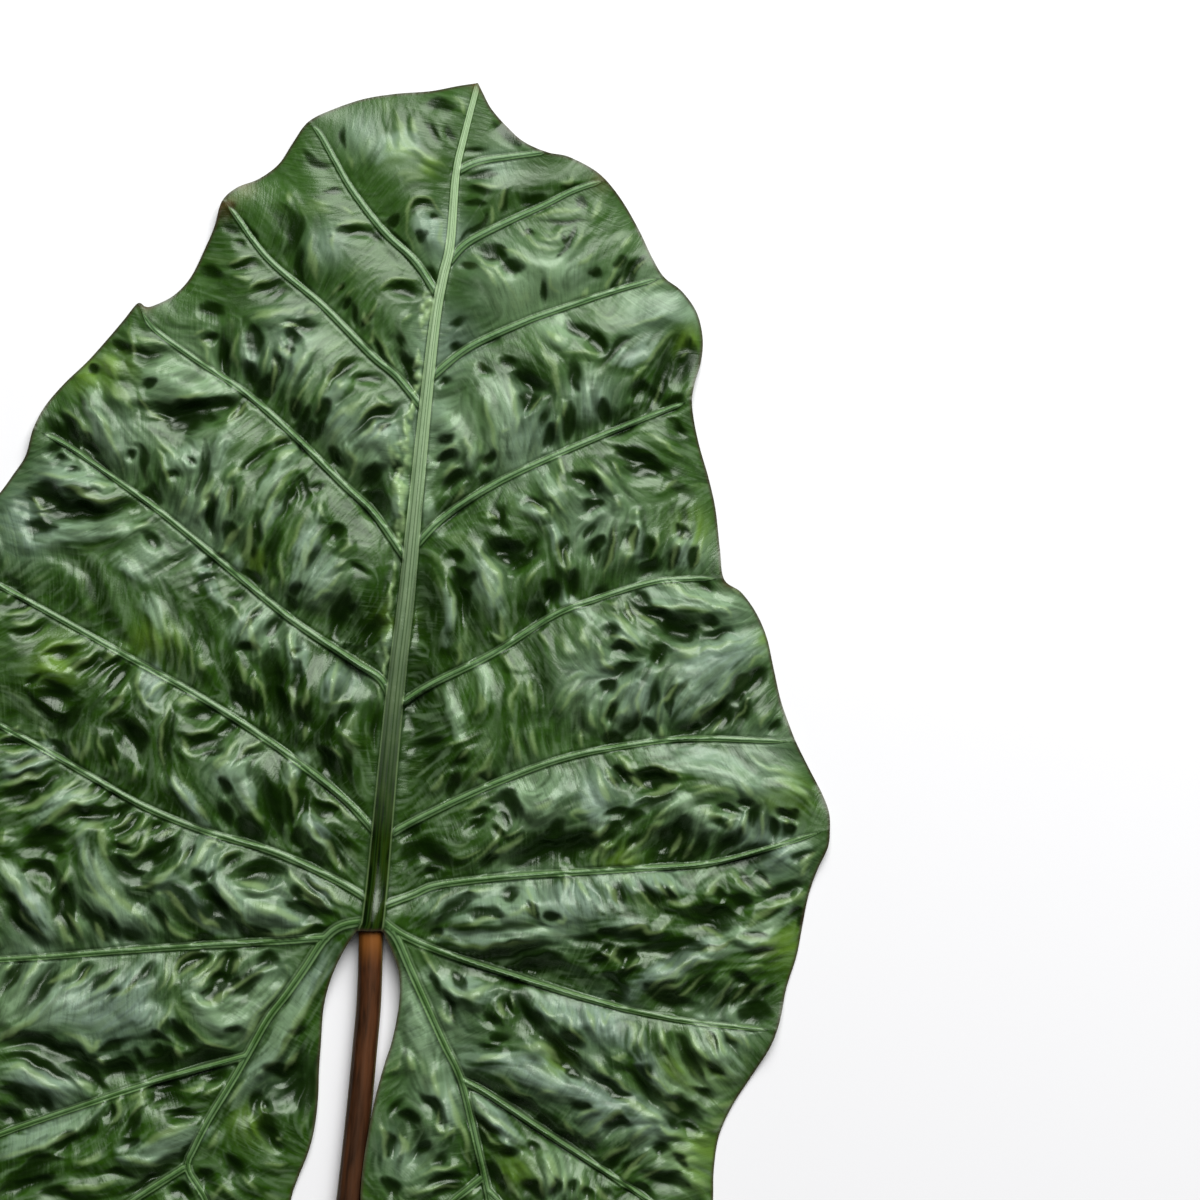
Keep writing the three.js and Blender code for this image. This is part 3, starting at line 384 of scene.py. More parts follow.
# Crests of the folds, raised in the relief and lightened with painted highlight:
RIDGES = """
1.6 443 240 443 222 439 208 431 199 421 198 412 204 407 214 408 230 412 246 418 262;
3 440 218 441 234 440 252; 4 395 112 400 130 406 146; 2 388 160 400 152 413 151 426 155 440 162 448 170;
3 347 156 352 165 352 173; 4 412 116 416 132; 2 452 94 460 103 462 118; 3 462 168 475 165 489 161;
3 473 183 488 186 505 183; 2 505 185 503 200 500 214; 2 495 205 492 218 487 231;
2 379 295 386 283 398 279 410 281 422 289; 2 335 227 346 223 360 222 376 224; 4 333 231 331 244 334 256;
4 311 234 313 254 316 282; 2 337 205 350 212 360 219; 4 284 192 296 203; 2.5 560 182 570 183 576 174;
3 590 222 598 212 603 200; 2.5 530 216 550 214 575 210 585 202; 2 515 222 527 238 540 248 556 251;
2.5 538 236 552 238 560 232 568 228; 2 572 252 580 243 584 232; 3 500 248 515 253 528 262 538 275;
2 470 250 485 262 500 275 510 292 514 306; 2 480 262 488 274 498 292; 2 549 270 552 284 560 296;
3 620 250 628 240 636 232; 2 603 296 610 280 618 268 626 262; 1.5 619 286 625 274;
1.5 634 276 642 266 650 260; 2 640 290 655 284 668 278; 3 590 288 580 296; 2 575 270 586 262 596 256;
1.5 228 262 240 258 254 257; 3 235 275 245 278 254 276; 2 250 292 254 285 264 280 274 278;
4 248 318 262 316 280 313 300 309; 3 300 318 312 314 322 313; 2 282 330 292 327 300 328;
2.5 238 372 236 352 238 335 244 328; 2 262 378 266 360 272 346; 2 272 396 274 376 278 356;
2 280 345 290 352 298 360; 2 318 418 320 404 326 388 334 372 344 360 356 354; 4 338 390 344 380;
3 290 392 296 376 306 360 318 346; 2 294 412 300 398 310 384 322 374; 4 330 432 340 418 354 406 372 396;
2 354 424 364 414 380 406 392 403; 2 378 398 384 404 396 404; 3 366 312 370 322 372 330;
2 364 340 372 342 376 332; 2 377 330 382 345 392 360 400 374; 1.5 380 300 374 312 370 325;
1.5 330 298 338 288 346 283; 1.5 344 304 352 294 358 290; 1.5 400 325 410 318 414 312;
2 132 333 138 337 155 341 174 348; 2 128 322 132 338 136 352 138 368; 2 144 306 148 316 150 326;
4 100 352 112 362 122 380; 5 110 380 122 392 134 408; 3 76 388 90 400 104 420 114 440 122 462 123 484;
2 60 405 72 414 84 430 94 444; 2 175 398 188 398 204 394 212 392; 2 140 395 150 410 162 420 174 428;
1.5 194 336 200 332 208 330; 2 198 338 206 345 212 352; 1.5 200 342 206 352 206 366;
2 162 440 170 452 180 462; 3 158 448 164 462 170 478 170 492; 2.5 188 492 184 505 180 515;
3 215 478 208 492 202 508; 2 196 520 204 508 212 494; 4 60 484 78 488 90 494 104 499 122 497;
2 28 492 40 505 52 515; 2 36 512 50 520; 2 92 484 110 484; 2 134 532 148 522 162 514;
2.5 30 472 50 476 80 476; 2 228 425 236 416 244 408 250 402; 1.5 240 402 232 412 226 424;
2 268 442 276 438 290 434; 3 228 478 238 470 244 468; 3 234 480 230 500 226 520;
3 222 484 216 498 214 505; 3 248 480 246 500 244 512; 3 270 500 284 486 294 476;
3 276 462 288 452 300 446; 2 264 528 268 510 276 496 286 482 296 472 310 464; 2 266 540 270 520 278 504;
4 240 560 248 548 252 530 252 520; 3 216 560 226 548 236 534 244 522; 3 282 590 284 572 282 550;
3 290 560 296 540 304 522 312 508; 2 308 560 314 544 322 534 328 528; 2 274 575 272 595;
4 300 575 306 560 308 540; 2 320 500 322 512 328 516; 3 348 478 356 468 352 455 346 446;
3 360 440 370 432 378 420; 1.5 374 440 382 432 390 422; 4 390 442 396 452 402 460;
2 405 410 408 430 408 450; 2 396 470 400 490 404 510 404 530; 3 340 552 350 545 346 538;
3 330 572 340 564 350 558; 3 326 590 336 582 346 572; 3 466 430 470 446 470 462;
2 446 510 456 500 464 490 472 480; 2 440 478 452 470 462 460; 2 444 452 454 448 462 442;
3 484 392 488 410 492 430 496 450 500 470; 4 506 376 512 396 516 420 516 440;
1.5 526 418 532 408 542 400 552 392; 1.5 504 436 510 426; 3 560 402 558 385 552 365 544 350 534 338;
2 566 420 562 400; 2 556 440 558 424 562 414; 1.5 560 352 574 352 590 354 604 352;
3 548 330 556 338 566 340; 2 620 330 640 322 660 318 678 310; 3 640 368 650 358 660 346 668 334 680 328;
2 628 384 638 374 650 366; 1.5 652 410 656 396 662 380; 1.5 680 358 688 352;
1.5 682 400 690 390 698 380; 1.5 638 430 650 436 664 442 676 450 690 462; 2 610 460 618 470 622 478;
1.5 660 492 672 486 680 480; 3 588 460 598 470 608 484 614 496; 3 560 452 562 470 560 480;
2 545 480 552 494 562 506 570 515; 2 556 470 562 486 568 500; 3 470 540 480 548 490 562 500 580 505 600;
4 480 560 486 580 492 596 500 612; 2 500 520 494 516 486 514; 3 530 505 542 512 550 520;
2 548 520 556 540 562 560 570 580; 2 552 520 550 500; 3 610 500 618 502 620 512; 2 634 510 640 514;
2 604 586 610 560 614 540 614 520; 2 626 566 630 550 634 532 642 520; 2 650 560 656 545 658 530;
3 672 570 676 550 684 538 690 532; 1.5 692 570 700 550 704 535;
2 444 572 450 585 454 600 454 625 456 645; 3 462 640 460 655 454 668; 2 494 600 500 594 498 586;
3 502 650 502 630 504 610; 3 490 635 500 640 508 636; 2 524 590 532 576 540 565;
2 566 570 570 560 566 550; 2 536 628 545 636 550 648; 3 500 650 510 660 520 668;
3 514 668 516 685 512 700 514 715; 3 530 676 532 695 534 712; 4 480 690 482 705 476 716;
2 510 720 512 740 516 765; 2 522 730 516 750 522 765; 3 532 730 534 745 538 756;
2 556 715 566 702 576 690 588 684; 2 582 725 580 740 582 750; 3 586 708 594 720 600 730;
2 442 748 456 742 470 738 484 730; 2 490 765 488 778; 1.5 560 640 566 648 574 652;
3 580 625 584 640 588 652; 3 594 640 602 652 606 664; 3 610 610 622 620 636 636 646 650;
2 624 600 630 610 634 622; 2 626 598 636 606 642 616 652 622 662 630;
3 650 600 662 606 680 608 700 612 712 612; 2 712 612 720 606 730 612 730 622;
2 654 580 668 584 684 592 700 600 716 608; 4 674 648 688 652 698 644;
2 676 658 692 656 708 648 724 644 740 640 750 632; 2 676 676 672 690 660 705 656 725;
2 660 725 662 738 664 740; 2 630 726 640 716 636 700 640 688 646 678;
2 608 736 604 720 608 705 620 690 632 682; 1.5 612 726 618 715 626 708 632 700;
3 682 728 694 716 704 706 716 696; 2 716 696 724 686 734 674 744 666; 2 744 670 754 662 764 658;
2 700 716 712 706 722 698 730 690; 1.5 730 728 738 714 746 702 756 690; 2 756 730 762 718 772 712;
1.5 712 734 718 726 722 716; 2 620 612 616 604 606 602; 3 600 655 606 665 612 672;
2 602 640 614 636 630 642 644 655; 1.5 238 648 246 630 254 614 262 606 266 600;
3 230 600 238 612 240 622; 4 252 612 254 630 258 645 262 660; 4 240 660 246 672 248 684;
2 254 720 253 705 254 690 258 676 264 688 266 702 264 722; 3 266 730 268 720 270 712;
3 284 640 292 636 294 650 298 664; 2 296 672 294 690 294 705 294 718; 4 306 680 306 695 306 710;
4 304 725 304 740; 4 338 660 336 676 334 692 332 705; 2 344 648 356 658 368 666 378 680 378 700;
2 394 560 394 580 390 600 386 620; 3 310 600 320 596 330 590 338 584; 1.5 330 702 344 700 356 702;
2 328 745 338 752 346 760; 1.5 340 728 352 738 362 748; 3 212 770 222 756 234 745 246 738;
2 234 770 242 756 250 746 262 740 272 742; 4 238 780 244 795 254 806 262 820 266 834;
4 284 760 292 770 294 785 294 800 294 815; 4 302 820 312 828 324 842 334 854 346 868 350 874;
2 318 785 330 800 344 812 360 824; 3 196 860 204 848 212 840 226 850; 2 218 868 224 858 234 852 244 850;
3 222 880 228 890 236 900 242 914; 4 240 880 256 885 272 884; 3 250 900 262 910 280 914 300 918;
2 286 858 290 872 300 884 314 894 330 904 346 914; 2 306 876 320 884 336 896 350 906;
2 300 892 312 900 324 908; 3 200 700 190 700 178 698; 1.5 176 700 168 715 164 735 163 755 166 770;
3 170 770 178 785 188 798 194 808; 4 196 800 204 810 210 822; 3 182 735 190 745 198 758;
2 186 732 200 732 214 726 222 718; 3 215 768 222 762 228 755; 3 150 620 156 635 160 655 162 670;
2 160 600 168 620 172 640 172 660; 2 174 620 180 640 182 660 180 675; 2 184 630 192 645 196 665 194 685;
3 204 660 208 672; 2 140 680 142 695 150 705 162 712; 2 144 700 156 690 166 682 176 676;
4 105 715 116 705 124 692 128 680; 3 142 668 140 680 140 690; 2 100 730 102 745 106 760;
2 114 752 118 764 120 778; 3 140 762 136 775 130 782; 3 86 770 84 755 90 742 92 730;
3 40 660 52 668 66 672 80 664 96 650 110 645; 1.5 38 658 46 648 60 640 72 638; 3 60 640 76 642 90 636;
3 10 620 26 624 42 616; 1.5 4 612 20 614 36 606; 1.5 0 598 14 596 30 594;
3 100 664 108 655 118 652 128 662; 2 40 724 46 735 48 742; 3 70 742 76 750 80 762;
2 0 738 12 732 22 726; 2 0 754 20 752 34 750; 4 0 768 20 766 40 760 56 756;
4 0 784 16 782 34 776 50 770; 3 6 812 24 806 40 800 56 792 72 782;
4 42 830 56 818 72 806 88 796 104 790; 3 70 795 84 790 98 786; 2 56 792 72 784 86 778; 2 0 832 14 830;
5 0 840 10 838; 4 0 860 10 872 22 890 34 904 46 920; 2 20 905 30 920 42 932 52 938;
5 78 838 90 825 104 828 106 850 112 868; 4 74 865 66 880 60 890; 3 90 840 88 858 92 870;
4 100 835 96 855 104 875 114 892 130 906 146 924 156 938; 3 82 862 92 880 100 895 112 908 124 918;
4 88 890 104 898 118 905; 3 66 910 76 922 84 938; 3 94 922 102 935 104 944; 3 70 935 74 944;
3 56 915 64 930 68 945; 3 118 850 130 852 142 850 148 835 154 820; 3 120 840 132 838 142 828;
2 136 830 144 824 150 812; 2 116 826 126 824 136 816; 3 158 840 170 832 178 824;
3 130 888 144 886 158 880 170 870 182 862 192 850; 3 172 870 182 862 188 850;
4 156 895 168 890 180 905 192 918 206 926 222 930; 3 164 915 174 928 186 936 200 938;
4 194 868 202 855 208 845 214 842; 2 222 880 226 892 234 905; 2 178 985 184 975 196 965 206 956;
3 194 985 206 980 216 968 222 956; 3 190 995 204 1000 220 996 236 986; 3 170 990 176 978 178 968;
2 158 995 166 980 168 965 172 955; 3 106 1000 120 996 134 985 146 975; 2 60 990 72 985 84 978 94 968;
3 96 992 110 982 122 970; 3 20 990 30 975 38 962 46 955; 3 50 985 62 975 76 968 90 958; 3 2 970 14 965;
2 458 760 466 752 474 745; 3 430 790 440 780 446 770; 4 472 785 480 772 490 760 494 750;
2 460 810 470 808 480 800 496 794; 2 450 852 460 858 474 852 490 842;
4 470 870 484 854 496 840 502 826 496 820; 3 490 862 504 848 518 840 526 830; 2 502 838 514 832 524 824;
5 530 805 542 806 552 796; 3 580 820 572 814 580 810 592 808; 3 590 840 600 832 610 824;
3 596 762 600 780 606 796 612 804; 2 604 762 610 775 618 790; 3 600 866 604 850 614 842;
3 600 868 594 860 598 848 608 838; 1.5 424 920 432 908 442 898 454 892 466 890;
2 466 892 480 890 496 888; 3 450 928 466 922 482 920 500 918;
3 424 936 440 936 456 942 474 946 496 946 520 942 544 938; 4 510 914 524 908 534 914;
3 560 895 566 880 562 870; 2 526 880 530 895 534 908 538 918; 3 556 920 566 922 562 912;
3 576 880 584 890 590 902; 3 604 880 612 892 620 904; 3 600 950 612 956 624 962;
3 620 930 640 926 656 930 666 922 676 916; 3 636 852 630 860 622 858 630 846 640 836;
3 632 850 642 838 652 828 664 818 676 806; 3 650 838 660 824 668 812; 3 652 820 664 810 672 800;
3 624 770 634 780 646 790; 3 614 752 624 762 636 774; 2 640 764 656 766 674 772 686 780;
4 640 798 656 792 672 786 686 784; 4 690 796 704 792 722 790 740 796; 4 700 806 712 816 724 816;
4 726 830 730 818 736 812; 3 744 836 742 822 748 812; 3 760 840 762 820 764 812;
3 668 860 674 846 680 832; 3 684 862 690 848 696 832; 2 786 826 788 818;
2 746 754 758 764 774 770 792 776 806 780; 4 768 784 784 782 800 790 812 804; 3 740 780 748 792 756 800;
3 690 786 706 786 722 790; 3 800 866 808 858 816 852; 4 800 876 806 868 812 862;
3 760 880 770 886 776 892; 3 732 870 744 884 756 896; 4 704 898 712 888 720 878;
4 668 900 684 904 700 900; 2 668 876 674 886 682 896; 2 630 880 640 892 650 904 662 910;
3 652 872 660 886 670 896; 4 740 928 756 918 770 908 784 900 800 896; 3 690 932 706 930 722 936;
3 726 940 744 936 760 940 776 944; 4 750 946 770 940 786 936; 3 700 950 720 944 738 934;
3 790 900 800 896 808 892; 2 168 985 176 970 186 960 198 952 206 950; 3 192 985 200 975 210 965 218 955;
2 190 994 202 1000 218 998 232 990 244 980 258 972 272 968 284 968;
2 286 962 288 972 282 984 272 996 262 1008 252 1020 246 1034; 4 230 970 238 962 246 954;
2 178 1006 188 1018 200 1030 212 1042 224 1046 236 1044 242 1036; 3 172 1000 166 1015 160 1030 156 1034;
3 176 1038 178 1050 184 1058; 2.5 240 1048 250 1030 260 1018 270 1006;
4 336 946 330 960 322 976 316 990 308 1006 300 1020 290 1036 280 1052 264 1070 250 1084;
4 256 930 270 936 290 934 306 928 320 924; 3 222 876 226 890 234 902 242 912 248 922 258 932;
5 250 900 268 908 286 914 304 920; 3 290 868 300 882 314 896 330 908; 4 200 908 206 918 214 924 222 930;
2 180 1090 196 1088 208 1080; 3 200 1094 212 1090 224 1086;
5 136 1150 148 1140 160 1132 176 1128 192 1124 204 1120; 4 128 1152 140 1160 154 1162 164 1164;
3 110 1098 120 1096 118 1112 110 1126; 4 126 1096 136 1094 144 1090 140 1104 134 1112;
2 96 1108 104 1100 112 1096; 3 0 1160 14 1152 30 1148 44 1144 54 1138 64 1134 76 1130 86 1122 94 1112;
4 100 1148 96 1156 84 1160 76 1158; 4 4 1072 18 1066 32 1070 46 1078 60 1088 72 1096;
3 74 1080 86 1086 96 1092; 3 0 1040 14 1032 28 1022 40 1012 50 1000;
4 60 1030 80 1034 96 1046 100 1038 110 1030; 3 98 1054 108 1066; 4 64 1188 80 1184 100 1186 120 1180;
2 136 1200 150 1190 166 1180 174 1176; 3 190 1170 198 1184 204 1196; 4 300 1050 290 1062 284 1072;
4 226 1180 214 1190 210 1198; 2 418 946 424 956 432 968 440 976;
5 450 985 462 992 474 994 484 988 496 980; 3 440 1006 446 1018 456 1014; 3 499 996 503 1010 508 1024;
1.5 510 992 514 1002 516 1010; 5 520 1046 536 1044 548 1050 560 1058; 4 476 1060 490 1056 506 1054;
3 490 1072 506 1080 520 1090 534 1096;
2.5 470 1092 476 1100 486 1112 498 1120 508 1126 516 1134 522 1148;
2.5 476 1120 484 1130 490 1138 500 1142 508 1138 510 1130;
4 448 1085 452 1100 458 1120 464 1136 470 1156 474 1176; 4 545 1150 555 1164 562 1180;
3 534 1166 540 1180 548 1196; 3 504 1168 510 1180 520 1196; 3 540 1000 550 1010 558 1020;
3 570 1010 572 1025 580 1036 586 1042; 3 586 1006 590 1020 594 1034; 2 600 1008 606 1022 612 1010;
3 594 1056 600 1066 608 1074; 2 608 1076 620 1082 632 1092; 4 620 1096 636 1104 652 1114 668 1124;
3 560 1116 568 1124 574 1134; 2 572 1118 584 1112 596 1108 604 1112;
3 580 1140 592 1130 604 1120 616 1112 630 1112; 3 630 1140 640 1130 650 1124;
4 600 1160 616 1150 630 1140; 2 560 1092 548 1088 536 1094; 2 440 1108 436 1122 444 1130 450 1120;
3 402 1054 410 1060 412 1072; 3 618 1020 632 1024 634 1040 626 1052; 3 610 1056 620 1058 628 1052;
3 642 1026 640 1040 648 1052; 3 664 1026 662 1040 660 1052; 3 660 1056 670 1066 680 1076 690 1084;
2 645 1058 650 1070 660 1080 672 1092 684 1102; 3 684 1026 694 1040 702 1052 712 1062;
3 700 1026 710 1040 718 1056; 3 712 1026 720 1040 728 1056; 2 722 1026 732 1036 742 1046;
2 734 1028 744 1040 752 1050; 3 636 1002 646 990 656 980 670 974 682 964 694 954 706 950;
2 650 1000 660 988 674 982 688 972; 2 674 994 686 990 696 980 706 970; 2 690 966 702 960 716 958;
3 606 962 614 952 620 946; 2 624 972 634 964 640 956; 3 708 1010 718 998 726 988 734 980;
2 732 1000 742 992 754 984; 2 748 998 758 990 768 984; 2 744 968 756 966 766 966;
3 750 956 766 954 778 948; 4 716 1106 726 1106 736 1098; 4 710 1118 720 1122 728 1116;
3 690 1132 702 1136 712 1134; 3 620 1184 632 1172 644 1164; 4 670 1146 684 1148 700 1150;
3 420 1176 436 1168 452 1164 466 1166; 2 410 1196 424 1188 444 1186 462 1184;
3 464 1196 472 1190 480 1184; 3 384 1070 396 1066 404 1056; 3 434 1066 436 1084 438 1100;
3 400 1130 404 1146 396 1160; 3 380 1120 386 1140 384 1160; 3 440 1140 450 1132 456 1120;
2 250 1070 240 1086 230 1100 222 1112; 3 220 1128 214 1140 206 1150; 3 216 1180 228 1190 238 1198;
3 240 1170 250 1182 262 1190; 2 262 1160 276 1168 290 1166; 2 276 1136 284 1140;
3 548 1160 550 1176 548 1190; 3 566 1166 566 1180 562 1192; 3 580 1170 582 1184 578 1196;
3 592 1176 600 1190 612 1200; 2 618 1178 630 1172 640 1160 652 1148; 3 640 1180 656 1168 670 1164;
3 680 1160 690 1158 700 1164; 3 690 1176 700 1182 706 1188; 3 652 1120 668 1130 684 1138;
3 660 1100 672 1106 684 1110;
"""
# Broad dark slopes of the big folds:
SHADED = """
10 140 408 190 412 235 402; 10 30 502 90 508 140 505; 5 110 345 150 350 175 352;
8 50 430 90 445 110 470; 9 60 550 90 570 102 600 120 640; 6 0 570 30 600; 5 150 575 180 560 200 550;
6 195 600 205 630 215 655; 8 240 520 250 550 260 580; 5 210 500 215 540; 8 295 420 310 440 320 425;
6 240 400 262 395 275 385; 13 366 478 378 504; 22 340 600 368 622 386 600; 6 230 330 225 370;
6 275 210 290 232; 5 340 235 365 230 376 238; 6 390 285 420 290; 5 395 340 410 370; 7 215 225 240 215;
5 480 245 500 255 515 270; 7 570 320 590 335 605 345; 5 620 275 640 265; 13 510 370 530 378 545 385;
9 640 385 664 402; 13 665 370 680 340 690 335; 8 600 425 630 415 650 400; 7 610 450 640 460 666 468;
6 665 480 690 495; 7 570 470 590 480 602 500; 6 430 520 450 505 475 490; 13 486 540 510 550 530 545;
7 450 560 462 590 470 620 478 650; 9 562 578 542 600 520 622; 6 588 545 600 562; 5 625 530 630 545;
8 635 600 660 615 690 628 720 630; 18 412 560 420 600 428 640; 12 16 690 50 720 70 748;
12 118 716 140 750; 7 80 810 110 815 130 802; 8 40 860 60 880 80 902; 10 118 884 140 898 152 862;
7 240 870 260 875 280 870; 7 200 960 225 975 246 968; 9 0 1030 40 1040 80 1056 130 1070;
9 150 1090 190 1075 230 1060; 6 108 1132 125 1108; 5 160 1110 200 1110; 7 0 1110 40 1100;
10 150 1180 180 1152; 8 28 1182 60 1170; 14 250 1100 280 1080 298 1050; 10 225 660 240 690 262 702;
10 275 660 280 700 286 740; 13 308 720 330 760 345 800; 10 352 852 330 830; 20 345 640 372 660;
22 402 640 420 700 430 760; 9 532 650 542 680 546 710; 12 490 850 540 840 590 846;
8 610 765 640 780 662 786; 12 640 830 676 840 692 820; 13 436 960 500 965 560 972 610 988;
10 620 942 660 950 690 960; 12 700 1002 740 990 772 1002; 9 500 990 520 1010 550 1040 590 1075 640 1100;
7 650 1040 665 1060 690 1086; 10 464 1080 500 1092 540 1120 580 1142 604 1170; 8 470 1150 480 1180;
7 610 1150 640 1140; 8 700 930 722 914; 8 650 900 672 912; 9 680 735 720 710 750 690;
7 576 740 580 700; 14 404 1120 420 1152;
"""
# Broad slopes of the big folds that face the light:
LIT = """
12 158 372 200 382 230 388; 8 88 384 100 420 110 450; 12 56 472 100 482; 11 36 536 100 530 144 522;
7 120 560 145 576; 8 150 600 165 632; 8 215 470 225 442 236 430; 11 178 460 200 452;
8 260 502 280 470 296 450; 9 302 560 315 522; 11 318 594 326 566; 11 262 616 240 634;
11 350 442 380 430 402 440; 6 330 402 350 372; 8 304 340 300 380; 8 250 340 250 372;
12 444 412 458 440; 11 480 388 500 402 510 430 515 462; 6 470 440 475 470; 11 590 376 590 412;
8 480 550 490 580 500 612; 6 450 590 450 640; 13 636 300 680 308 692 322; 8 610 352 630 360 650 342;
12 548 326 572 336; 5 550 520 560 550; 8 680 558 690 530; 6 640 520 640 560; 6 520 500 545 520;
10 650 600 700 600 732 606; 8 600 622 640 640; 10 0 770 30 765 50 750; 8 40 820 60 800 90 795;
10 90 830 95 860 110 890 130 930; 10 10 870 30 900 50 930; 18 20 1008 60 1000 110 1004;
14 150 962 134 1000 164 1020; 10 190 980 210 1010 240 1020 270 992; 9 210 870 240 900 270 915 302 916;
7 310 880 330 900; 11 170 880 200 910 230 930; 10 226 776 250 756; 8 245 780 250 802; 8 290 774 302 758;
7 310 820 336 850; 10 300 664 295 638; 9 330 690 338 672; 10 150 660 155 700; 6 175 780 190 800 205 822;
9 0 1070 40 1076 84 1092; 10 0 1150 50 1130 100 1110; 12 130 1150 160 1150 200 1130;
8 334 950 300 1002 264 1060 234 1100; 11 620 722 640 690 646 670; 15 680 700 700 670 730 650 762 640;
13 650 752 700 760 740 775 792 792; 13 508 790 540 800 562 780; 11 590 788 600 820;
9 640 802 680 800 700 820 740 822; 11 600 880 650 880 702 880; 9 758 862 800 850;
15 430 902 480 906 540 900 590 900 630 924; 7 440 936 500 936 560 930;
10 630 990 660 970 700 950 740 944; 9 430 974 460 986 492 992; 11 520 1000 560 1010 600 1020 632 1040;
13 466 1060 520 1065 570 1080 620 1100 662 1122; 8 640 1040 650 1070 670 1092; 12 700 1030 720 1050 732 1064;
11 410 980 420 1020 440 1062; 8 440 1090 450 1122; 9 480 1100 500 1120 520 1152; 8 550 1160 560 1192;
9 720 922 750 936 790 914; 12 380 150 410 142; 8 322 518 312 552 300 590; 6 282 500 264 528;
6 254 546 236 572; 6 200 560 222 606; 5 292 600 304 560; 7 196 520 214 500; 8 430 466 424 500 436 530;
7 404 486 396 520; 6 560 596 590 618; 7 540 470 560 500; 7 384 620 396 660; 6 448 690 462 740;
7 480 660 492 700; 10 534 262 570 272; 9 420 222 440 240;
"""
# The crumpled strip beside the midrib, whose paleness is painted highlight where its flank faces the light,
# and one more pale place:
LIT_STRIP = """
5 430 288 428 306 424 324 423 340; 4 420 350 418 372 415 396; 4 413 404 411 424 408 442;
8 405 440 402 456 400 470; 6 401 470 401 488 400 504; 4 402 504 401 526 400 548;
3 727 581 738 588 746 597; 2 394 566 393 588 390 618; 2 388 624 385 650 384 676;
"""
# Soft round spots, read as a place and radius in pixels. Deep green:
# These deep green spots are painted shade.
PAINTED_SHADE_PX = [
    (285, 765, 45), (275, 700, 40), (330, 705, 30),
    (350, 640, 60), (345, 750, 70), (420, 760, 60), (430, 850, 50), (440, 640, 46), (60, 690, 46),
    (130, 720, 34), (190, 590, 30), (140, 860, 30), (260, 1060, 34), (590, 955, 44), (510, 980, 24),
    (480, 610, 34), (540, 835, 40), (690, 740, 16), (530, 190, 26), (330, 460, 18),
]
# Grey-green painted sheen:
PAINTED_SHEEN_PX = [
    (520, 285, 42), (440, 350, 40), (440, 430, 42), (520, 440, 40), (30, 520, 36), (205, 515, 38),
    (600, 520, 38), (600, 680, 38), (760, 765, 36), (120, 915, 36), (40, 1000, 36), (275, 1075, 24),
    (440, 1085, 30), (690, 1085, 34), (760, 840, 32), (260, 985, 30),
    (400, 150, 18), (360, 135, 20), (330, 245, 20), (180, 375, 40), (120, 440, 34),
    (200, 460, 26), (60, 480, 30), (150, 555, 22), (265, 625, 24), (322, 580, 22), (380, 450, 30),
    (300, 345, 34), (345, 425, 24), (445, 240, 24), (500, 165, 18), (560, 275, 34), (450, 420, 30),
    (505, 395, 24), (515, 445, 26), (590, 395, 26), (640, 305, 34), (555, 325, 24), (485, 580, 18),
    (690, 550, 20), (655, 600, 24), (735, 605, 24), (760, 640, 18), (232, 772, 22), (350, 680, 18),
    (110, 1005, 46), (30, 980, 46), (235, 1010, 34), (60, 1090, 24), (205, 855, 22), (115, 905, 34),
    (270, 905, 30), (640, 700, 30), (705, 675, 40), (535, 800, 32), (595, 790, 26), (690, 820, 24),
    (775, 850, 30), (520, 890, 30), (560, 915, 26), (430, 1030, 40), (445, 1090, 20), (605, 1020, 26),
    (560, 1065, 34), (720, 1030, 30), (600, 1110, 26), (650, 1130, 26), (410, 1150, 30), (270, 1080, 22),
    (560, 1170, 24), (680, 1165, 26),
]
# Yellow-green:
YELLOW_PX = [
    (400, 150, 16), (116, 366, 20), (88, 374, 16), (790, 796, 20), (772, 800, 14), (786, 945, 22),
    (430, 165, 10), (168, 640, 14), (330, 1190, 26), (250, 1120, 18), (740, 1120, 20), (690, 530, 18),
    (690, 340, 16), (690, 1080, 34), (700, 1160, 30), (620, 860, 16), (520, 1170, 20),
    (150, 640, 18), (60, 660, 24), (395, 620, 16), (260, 560, 12), (770, 640, 14), (560, 1060, 16),
]
# Brown, at the margin:
BROWN_PX = [(478, 86, 7), (222, 202, 14), (246, 186, 10), (600, 181, 9), (728, 583, 7), (146, 307, 6)]

lean = np.array([TIP_PX[0] - JUNCTION_PX[0], JUNCTION_PX[1] - TIP_PX[1]], float)
length_px = np.hypot(*lean)
lean /= length_px
scale = BLADE_LENGTH / length_px
picture_up = np.array([-lean[0], lean[1]])
picture_right = np.array([lean[1], lean[0]])
towards_light = WINDOW_RIGHT * picture_right + WINDOW_AHEAD * picture_up
towards_light /= np.hypot(*towards_light)


def on_leaf(places):
    """Photograph pixels to the leaf's own frame, in millimetres."""
    p = np.asarray(places, float) - JUNCTION_PX
    right, up = p[:, 0], -p[:, 1]
    return scale * np.stack([right * lean[1] - up * lean[0], right * lean[0] + up * lean[1]], 1)


def to_photo(x, y):
    """The leaf's own frame, in millimetres, to photograph pixels."""
    right = (x * lean[1] + y * lean[0]) / scale
    up = (-x * lean[0] + y * lean[1]) / scale
    return JUNCTION_PX[0] + right, JUNCTION_PX[1] - up


